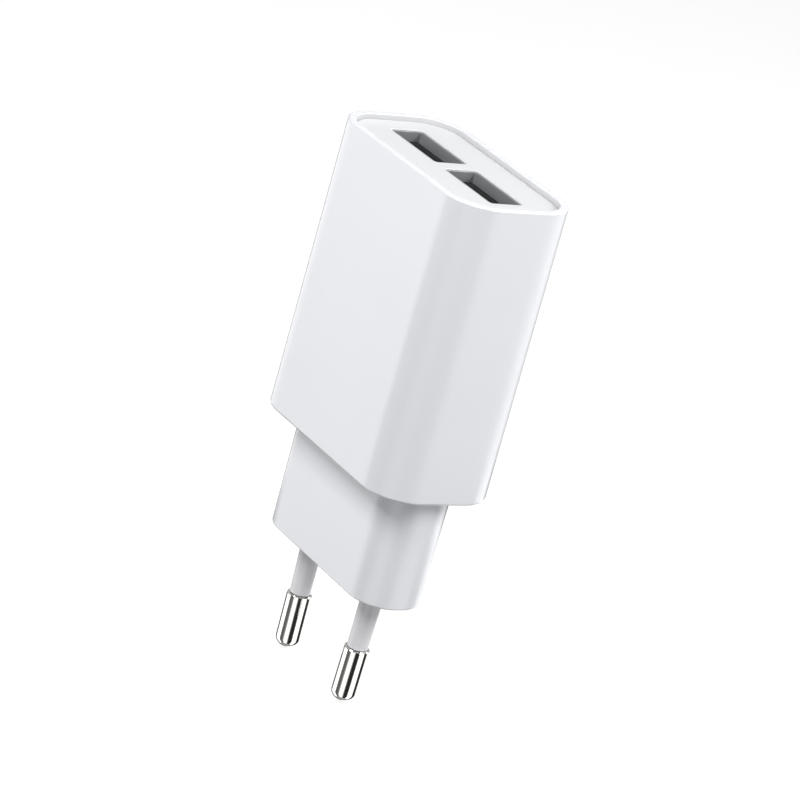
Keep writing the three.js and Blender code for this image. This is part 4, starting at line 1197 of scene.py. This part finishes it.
def make_drum():
    node = "inductor_core"
    low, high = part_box(node)
    radius = (high.x - low.x) / 2
    height = high.y - BOARD_HIGH.y - AIR
    soft = 0.25 * MM
    bm = bmesh.new()
    profile = [(0, 0)] + arc((radius - soft, soft), soft, -90, 0, 4)
    profile += arc((radius - soft, DRUM_FLANGE - soft), soft, 0, 90, 4)
    profile += [(DRUM_WAIST, DRUM_FLANGE), (DRUM_WAIST, height - DRUM_FLANGE)]
    profile += arc((radius - soft, height - DRUM_FLANGE + soft), soft, -90, 0, 4)
    profile += arc((radius - soft, height - soft), soft, 0, 90, 4) + [(0, height)]
    turned(bm, profile, 56)
    stand_on_board(bm, node)
    known = set(bm.faces)
    place = middle_of(node)
    for side in (-1, 1):
        x = place.x + side * (DRUM_WAIST + FIT)
        straight_lead(bm, x, BOARD_HIGH.y + AIR + DRUM_FLANGE / 2, place.z)
    stain(bm, known, 1)
    return settle(finish_mesh(bm, "choke_drum", FERRITE, TINNED), [node])


def make_drum_coil():
    node = "inductor_coil"
    low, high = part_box(node)
    outer = (high.x - low.x) / 2
    start = low.y - BOARD_HIGH.y - AIR
    turns = 12
    strand = (high.y - low.y) / turns / 2
    bm = bmesh.new()
    inner = DRUM_WAIST + FIT
    profile = [(inner, start)]
    for turn in range(turns):
        profile += arc((outer - strand, start + (2 * turn + 1) * strand), strand, -80, 80, 5)
    profile += [(inner, start + 2 * turns * strand), (inner, start)]
    turned(bm, profile, 48)
    stand_on_board(bm, node)
    return settle(finish_mesh(bm, "choke_winding", ENAMELLED_WIRE), [node])


# ---------------------------------------------------------------- transformer

BOBBIN_WALL = 0.7 * MM
CORE_MIDDLE = middle_of("core_tape")
CORE_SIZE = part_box("transformer_core_upper")[1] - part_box("transformer_core_lower")[0]
CORE_BACK = 2.4 * MM
CORE_LEG = 4.6 * MM
TUBE = 6.2 * MM


def make_core_half(node, end):
    """One E-shaped ferrite half with its legs towards the middle."""
    low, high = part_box(node)
    half = (high.x - low.x) / 2
    root = high.z if end > 0 else low.z
    tip = low.z if end > 0 else high.z
    inner = root - end * CORE_BACK
    side = half - CORE_BACK
    leg = CORE_LEG / 2
    profile = [
        (-half, root), (-half, tip), (-side, tip), (-side, inner), (-leg, inner), (-leg, tip),
        (leg, tip), (leg, inner), (side, inner), (side, tip), (half, tip), (half, root),
    ]
    bm = bmesh.new()
    face = bm.faces.new([bm.verts.new((x, low.y, z)) for x, z in profile])
    moved = bmesh.ops.extrude_face_region(bm, geom=[face])["geom"]
    move(bm, (0, high.y - low.y, 0), verts_in(moved))
    bmesh.ops.recalc_face_normals(bm, faces=bm.faces)
    outer = [edge for edge in bm.edges if edge.calc_face_angle_signed(0) > 0.1]
    fillet(bm, outer, 0.18 * MM, 2)
    name = node.replace("transformer_core", "e_core")
    return settle(finish_mesh(bm, name, FERRITE), [node])


def make_bobbin():
    node = "transformer_bobbin"
    low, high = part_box(node)
    bottom = BOARD_HIGH.y + AIR
    reach = CORE_SIZE.z / 2 - CORE_BACK - FIT
    flange = CORE_LEG / 2 + (CORE_SIZE.x - CORE_LEG - 2 * CORE_BACK) / 2 - FIT
    core_under = CORE_MIDDLE.y - CORE_SIZE.y / 2 - FIT
    z = CORE_MIDDLE.z
    bm = bmesh.new()
    inside = reach - BOBBIN_WALL / 2
    y = CORE_MIDDLE.y
    solid_block(bm, (-TUBE / 2, y - TUBE / 2, z - inside), (TUBE / 2, y + TUBE / 2, z + inside))
    for end in (-1, 1):
        outer = z + end * reach
        inner = outer - end * BOBBIN_WALL
        plate = bmesh.new()
        soft_block(plate, (-flange, bottom + AIR, inner), (flange, high.y, outer), 0.12 * MM)
        bm = carve(bm, plate, "UNION")
        far = high.z if end > 0 else low.z
        near = inner + end * FIT
        rail = bmesh.new()
        soft_block(rail, (low.x, bottom, near), (high.x, core_under, far), 0.2 * MM)
        bm = carve(bm, rail, "UNION")
    bore = bmesh.new()
    half = CORE_LEG / 2 + FIT
    bore_floor = core_under + 0.02 * MM
    end_z = reach + AIR
    solid_block(bore, (-half, bore_floor, z - end_z), (half, y * 2 - core_under, z + end_z))
    bm = carve(bm, bore)
    pitch = 3.8 * MM
    notches = bmesh.new()
    notch = 0.35 * MM
    for end in (-1, 1):
        far = high.z if end > 0 else low.z
        for step in (-1, 0, 1):
            x = step * pitch
            deep = 2 * notch
            solid_block(
                notches, (x - notch, bottom - AIR, far - deep), (x + notch, core_under + AIR, far + deep),
            )
    bm = carve(bm, notches)
    known = set(bm.faces)
    for end in (-1, 1):
        row = z + end * (CORE_SIZE.z / 2 + 1.0 * MM)
        for step in (-1.5, -0.5, 0.5, 1.5):
            straight_lead(bm, step * pitch, bottom + 1.0 * MM, row)
    stain(bm, known, 1)
    return settle(finish_mesh(bm, "wound_bobbin", BOBBIN_BLACK, TINNED), [node])


def make_layer(node, name, thickness, turns, material):
    """A layer round the bobbin's tube; turns shape its outside into strands."""
    low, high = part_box(node)
    outer = high.x - low.x
    inner = outer - 2 * thickness
    corner = (outer - TUBE) / 2 + FIT
    hollow = max((inner - TUBE) / 2, FIT)
    centre = (0, CORE_MIDDLE.y)
    length = high.z - low.z
    steps = 4
    bm = bmesh.new()
    loops = [outline(bm, inner, inner, hollow, low.z, 5, centre)]
    for i in range(turns * steps + 1):
        swell = abs(math.sin(math.pi * i / steps))
        width = outer - 0.24 * MM * (1 - swell) if turns > 1 else outer
        level = low.z + length * i / (turns * steps)
        loops.append(outline(bm, width, width, corner, level, 5, centre))
    loops.append(outline(bm, inner, inner, hollow, high.z, 5, centre))
    loft(bm, loops + [loops[0]])
    return settle(finish_mesh(bm, name, material), [node])


def make_winding_tape():
    """The last layer of tape, with its cut end lying on the outside."""
    node = "winding_tape"
    low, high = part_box(node)
    piece = make_layer(node, "outer_wrap", 0.15 * MM, 1, TAPE_YELLOW)
    lap = bmesh.new()
    lap.from_mesh(piece.data)
    film = 0.06 * MM
    start = (low.x + 2.6 * MM, high.y - film, low.z + film)
    soft_block(lap, start, (high.x - 3.4 * MM, high.y + film, high.z - film), 0.02 * MM, 1)
    lap.to_mesh(piece.data)
    lap.free()
    return piece


def make_core_tape():
    node = "core_tape"
    low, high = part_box(node)
    size = (high.x - low.x, high.z - low.z)
    thickness = 0.15 * MM
    inner = (size[0] - 2 * thickness, size[1] - 2 * thickness)
    half = (high.y - low.y) / 2
    bm = bmesh.new()
    corner = 0.35 * MM
    loops = [
        outline(bm, *size, corner, -half, 4), outline(bm, *size, corner, half, 4),
        outline(bm, *inner, corner - thickness, half, 4), outline(bm, *inner, corner - thickness, -half, 4),
    ]
    loft(bm, loops + [loops[0]])
    lay_back(bm, *CORE_MIDDLE)
    return settle(finish_mesh(bm, "core_wrap", TAPE_YELLOW), [node])


# ---------------------------------------------------------------- solder-side parts

def make_package(node, name, width, length, pins, pitch, span):
    """A moulded package with a parting line, a locating dimple and gull-wing leads."""
    low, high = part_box(node)
    place = middle_of(node)
    stand_off = 0.2 * MM
    height = BOARD_LOW.y - stand_off - low.y
    draft = 0.12 * MM
    sheet = 0.2 * MM
    middle = stand_off + height / 2
    bm = bmesh.new()
    levels = [(stand_off, 2 * draft), (middle, 0), (stand_off + height, 2 * draft)]
    loops = [outline(bm, width - inset, length - inset, 0.1 * MM, z, 3) for z, inset in levels]
    loft(bm, loops)
    cap(bm, loops[0], loops[-1])
    dimple = bmesh.new()
    rod(dimple, width / 12, 0.12 * MM, 20)
    corner = (-width * 0.32, length * 0.34, stand_off + height)
    move(dimple, corner)
    bm = carve(bm, dimple)
    known = set(bm.faces)
    foot = FIT + sheet / 2
    reach = (span - width) / 2
    path = bent([
        (width / 2 - 0.3 * MM, middle), (width / 2 + 0.35 * reach, middle),
        (width / 2 + 0.45 * reach, foot), (span / 2, foot),
    ], 0.12 * reach, 3)
    for side in (-1, 1):
        for i in range(pins):
            start = set(bm.verts)
            ribbon(bm, path, pitch / 3, sheet)
            made = since(bm, start)
            rotate(bm, -QUARTER * side, "Z", made)
            along = (i - (pins - 1) / 2) * pitch
            move(bm, (0, along, 0), made)
            foot_x = place.x + side * (span / 2 - 2 * sheet)
            PAD_PLACES.append((foot_x, place.z + along, 5 * sheet, pitch / 3 + FIT))
    stain(bm, known, 1)
    lay_back(bm, place.x, BOARD_LOW.y, place.z)
    return settle(finish_mesh(bm, name, PACKAGE_BLACK, TINNED), [node])


def make_chip(node, name, middle, coated):
    """A ceramic chip with wrapped end caps, and on a resistor a dark overcoat."""
    low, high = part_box(node)
    wrap = (high.x - low.x) / 6
    inset = 0.05 * MM
    bm = bmesh.new()
    soft_block(
        bm, (low.x + inset, low.y + inset, low.z + inset), (high.x - inset, high.y - inset, high.z - inset),
        0.03 * MM,
    )
    known = set(bm.faces)
    for start, stop in ((low.x, low.x + wrap), (high.x - wrap, high.x)):
        soft_block(bm, (start, low.y, low.z), (stop, high.y, high.z), 0.06 * MM, 3)
        PAD_PLACES.append(((start + stop) / 2, (low.z + high.z) / 2, 1.6 * wrap, high.z - low.z + FIT))
    stain(bm, known, 1)
    known = set(bm.faces)
    if coated:
        soft_block(
            bm, (low.x + wrap, low.y + inset * 0.3, low.z + 2 * inset),
            (high.x - wrap, low.y + 2 * inset, high.z - 2 * inset), 0.02 * MM,
        )
    stain(bm, known, 2)
    return settle(finish_mesh(bm, name, middle, TINNED, PACKAGE_BLACK), [node])


# ---------------------------------------------------------------- board and film

def solder_joint(bm, x, z):
    """A cone of solder round a lead, on the side away from the parts."""
    start = set(bm.verts)
    wide = 0.85 * MM
    rise = 0.55 * MM
    profile = [(0, -0.05 * MM), (wide, -0.05 * MM), (wide, 0.03 * MM)]
    profile += [
        (LEAD / 2 + (wide - LEAD / 2) * (1 - step / 5) ** 2.2, rise * (step / 5)) for step in range(1, 6)
    ]
    turned(bm, profile + [(0, rise)], 20)
    lay_back(bm, x, BOARD_LOW.y, z, since(bm, start))


def board_slots(cutter):
    """Slots for the port shells' tabs and the contacts' tails."""
    slack = LEAD_FIT
    for side_name in SIDES:
        for index in range(1, 5):
            low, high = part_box(f"usb_contact_{side_name}_{index}")
            solid_block(
                cutter, (low.x - slack, BOARD_LOW.y - AIR, low.z - slack),
                (high.x + slack, BOARD_HIGH.y + AIR, low.z + CONTACT_THICKNESS + slack),
            )
        low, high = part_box("usb_shell_" + side_name)
        tab_z = high.z - TAB_SETBACK
        for x in (low.x, high.x - SHELL_THICKNESS):
            solid_block(
                cutter, (x - slack, BOARD_LOW.y - AIR, tab_z - TAB_HALF - slack),
                (x + SHELL_THICKNESS + slack, BOARD_HIGH.y + AIR, tab_z + TAB_HALF + slack),
            )


def make_board():
    """The laminate with its slots and lead holes, solder joints and pads."""
    size = BOARD_HIGH - BOARD_LOW
    half = size.y / 2
    bm = bmesh.new()
    slab(bm, size.x, size.z, 0.5 * MM, -half, half, 4)
    lay_back(bm, *middle_of("main_board"))
    cutter = bmesh.new()
    board_slots(cutter)
    for x, z in LEAD_PLACES:
        start = set(cutter.verts)
        rod(cutter, LEAD / 2 + LEAD_FIT, size.y + 2 * AIR, 16)
        lay_back(cutter, x, BOARD_HIGH.y - half, z, since(cutter, start))
    bm = carve(bm, cutter)
    known = set(bm.faces)
    for x, z in LEAD_PLACES:
        solder_joint(bm, x, z)
    film = 0.04 * MM
    for x, z, width, length in PAD_PLACES:
        soft_block(
            bm, (x - width / 2, BOARD_LOW.y - film, z - length / 2),
            (x + width / 2, BOARD_LOW.y + film, z + length / 2), film / 2, 1,
        )
    stain(bm, known, 1)
    return settle(finish_mesh(bm, "circuit_board", SOLDER_MASK, SOLDER), ["main_board"])


def make_film():
    """The insulating film between the solder side and the case, with rounded corners."""
    low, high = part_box("insulation_sheet")
    half = (high.y - low.y) / 2
    bm = bmesh.new()
    lower, upper = slab(bm, high.x - low.x, high.z - low.z, 1.5 * MM, -half, half, 6)
    fillet(bm, lower + upper, 0.08 * MM, 2)
    lay_back(bm, *middle_of("insulation_sheet"))
    return settle(finish_mesh(bm, "insulating_film", AMBER_FILM), ["insulation_sheet"])


# ---------------------------------------------------------------- studio

FLOOR_GAP = 0.5 * MM
ROOM = 6.0
CENTRE = Vector((0, 0, 25 * MM))
FILL_BELOW = 0.34
FILL_LEVEL = 0.58
FILL_OVERHEAD = 0.1
RING_RADIUS = 400 * MM
RING_LOW = -800 * MM
RING_MIDDLE = -148 * MM
RING_UPPER = -120 * MM
RING_HIGH = 10 * MM

# Cards round the charger, from one azimuth to another, with their brightness.
# The body's walls mirror the upper row of the ring, the plug the middle row, the pins the lower row.
UPPER_CARDS = {
    "card_left": (-100, -36, 1.6),
    "flag_left": (-32, 18, 0.25),
    "card_front": (22, 48, 0.6),
    "flag_front": (52, 96, 0.1),
    "card_right": (102, 194, 1.4),
    "flag_right": (198, 240, 0.4),
}
PLUG_CARDS = {
    "plug_card_left": (-100, -36, 1.6),
    "plug_flag_left": (-32, 18, 0.25),
    "plug_card_front": (22, 48, 0.6),
    "plug_flag_front": (52, 150, 0.1),
    "plug_card_right": (156, 194, 2.2),
    "plug_flag_right": (198, 240, 0.1),
}
LOWER_CARDS = {
    "low_flag_far_left": (-124, -78, 0.12),
    "low_card_left": (-72, -26, 1.6),
    "low_flag_left": (-20, 6, 0.12),
    "low_card_front": (16, 52, 1.35),
    "low_flag_front": (58, 90, 0.02),
    "low_card_right": (96, 136, 1.8),
    "low_flag_right": (142, 172, 0.02),
    "low_card_back": (176, 232, 1.3),
}

# Softboxes: azimuth, elevation, size and power
SOFTBOXES = {
    "key_front": (2, 47, (200 * MM, 200 * MM), 1.85),
    "key_right": (122, 42, (200 * MM, 200 * MM), 1.8),
    "back_fill": (186, 30, (260 * MM, 220 * MM), 0.7),
}
SOFTBOX_DISTANCE = 500 * MM


def aim(azimuth, elevation):
    """A unit vector pointing from the charger; azimuth 0 is -Y and 90 is +X."""
    across = math.cos(math.radians(elevation))
    turn = math.radians(azimuth)
    return Vector((
        math.sin(turn) * across, -math.cos(turn) * across, math.sin(math.radians(elevation)),
    ))


def add_softbox(name, azimuth, elevation, size, power):
    data = bpy.data.lights.new(name, "AREA")
    data.shape = "RECTANGLE"
    data.size, data.size_y = size
    data.energy = power
    light = bpy.data.objects.new(name, data)
    bpy.context.scene.collection.objects.link(light)
    light.location = CENTRE + aim(azimuth, elevation) * SOFTBOX_DISTANCE
    light.rotation_euler = aim(azimuth, elevation).to_track_quat("Z", "Y").to_euler()


def card_paper(name, brightness):
    made = Finish(name, roughness=1.0, specular_ior_level=0.0)
    made.shader.inputs["Base Color"].default_value = (0, 0, 0, 1)
    made.shader.inputs["Emission Color"].default_value = (1, 1, 1, 1)
    made.shader.inputs["Emission Strength"].default_value = brightness
    return made.material


def add_card(name, low, high, start, end, brightness):
    """Part of a ring of cards that shows only in reflections."""
    bm = bmesh.new()
    first = aim(start, 0) * RING_RADIUS
    verts = [bm.verts.new((first.x, first.y, z)) for z in (low, high)]
    edge = bm.edges.new(verts)
    bmesh.ops.spin(
        bm, geom=verts + [edge], cent=(0, 0, 0), axis=(0, 0, 1),
        angle=math.radians(end - start), steps=16, use_merge=False,
    )
    card = finish_mesh(bm, name, card_paper(name, brightness), weighted=False)
    card.visible_camera = False
    card.visible_diffuse = False
    card.visible_shadow = False


def studio_paper():
    """Bright white paper that hardly shows a shadow."""
    made = Finish("studio_paper", roughness=0.9)
    made.shader.inputs["Emission Color"].default_value = (1, 1, 1, 1)
    made.shader.inputs["Emission Strength"].default_value = 0.8
    tooth = made.noise(20 * MM, 3.0)
    made.colour(made.mix(tooth, (0.26, 0.26, 0.26), (0.24, 0.24, 0.24)))
    return made.material


def add_floor():
    bm = bmesh.new()
    bmesh.ops.create_circle(bm, cap_ends=True, radius=ROOM, segments=96)
    move(bm, (0, 0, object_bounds()[0][2] - FLOOR_GAP))
    floor = finish_mesh(bm, "floor", studio_paper(), weighted=False)
    floor.visible_diffuse = False
    floor.visible_glossy = False
    floor.visible_shadow = False


def add_world():
    """A soft white room, brightest a little above the level and dim overhead."""
    world = bpy.data.worlds.new("soft_white_room")
    world.use_nodes = True
    tree = world.node_tree
    where = tree.nodes.new("ShaderNodeTexCoord")
    parts = tree.nodes.new("ShaderNodeSeparateXYZ")
    ramp = tree.nodes.new("ShaderNodeValToRGB")
    Finish.set_stops(ramp.color_ramp, [
        (0.42, (FILL_BELOW,) * 3), (0.55, (FILL_LEVEL,) * 3), (1.0, (FILL_OVERHEAD,) * 3),
    ])
    height = tree.nodes.new("ShaderNodeMapRange")
    height.inputs["From Min"].default_value = -1
    tree.links.new(where.outputs["Generated"], parts.inputs["Vector"])
    tree.links.new(parts.outputs["Z"], height.inputs["Value"])
    tree.links.new(height.outputs["Result"], ramp.inputs["Fac"])
    tree.links.new(ramp.outputs["Color"], tree.nodes["Background"].inputs["Color"])
    bpy.context.scene.world = world
    bpy.context.scene.view_settings.view_transform = "Standard"


# ---------------------------------------------------------------- assembly

make_housing()
make_panel()
for side_name in SIDES:
    make_pin(side_name)
    make_sleeve(side_name)
    make_port_shell(side_name)
    make_insulator(side_name)
    for index in range(1, 5):
        make_contact(side_name, index)
    make_mains_strip(side_name)

make_pin_clamp()
for index in (1, 2):
    make_can(f"input_capacitor_{index}", INPUT_SLEEVE)
    make_can(f"output_capacitor_{index}", OUTPUT_SLEEVE)
make_disc_capacitor()
make_fuse()
make_bridge()
make_drum()
make_drum_coil()
make_core_half("transformer_core_lower", -1)
make_core_half("transformer_core_upper", 1)
make_bobbin()
make_layer("primary_winding", "primary_wire", 1.0 * MM, 26, ENAMELLED_WIRE)
make_layer("secondary_winding", "secondary_wire", 0.6 * MM, 12, INSULATED_WIRE)
make_winding_tape()
make_core_tape()
make_package("controller_ic", "controller", 3.9 * MM, 4.9 * MM, 4, 1.27 * MM, 6.0 * MM)
make_package("output_rectifier", "rectifier", 4.4 * MM, 3.6 * MM, 1, 12.0 * MM, 5.4 * MM)
make_package("charge_id_ic", "charge_controller", 1.6 * MM, 2.9 * MM, 3, 0.95 * MM, 2.8 * MM)
for index in range(1, 5):
    make_chip(f"chip_resistor_{index}", f"surface_resistor_{index}", CHIP_CERAMIC, True)
for index in (1, 2):
    make_chip(f"chip_capacitor_{index}", f"surface_capacitor_{index}", CHIP_TAN, False)
make_board()
make_film()

add_floor()
add_world()
for name, card in UPPER_CARDS.items():
    add_card(name, RING_UPPER, RING_HIGH, *card)
for name, card in PLUG_CARDS.items():
    add_card(name, RING_MIDDLE, RING_UPPER, *card)
for name, card in LOWER_CARDS.items():
    add_card(name, RING_LOW, RING_MIDDLE, *card)
for name, softbox in SOFTBOXES.items():
    add_softbox(name, *softbox)
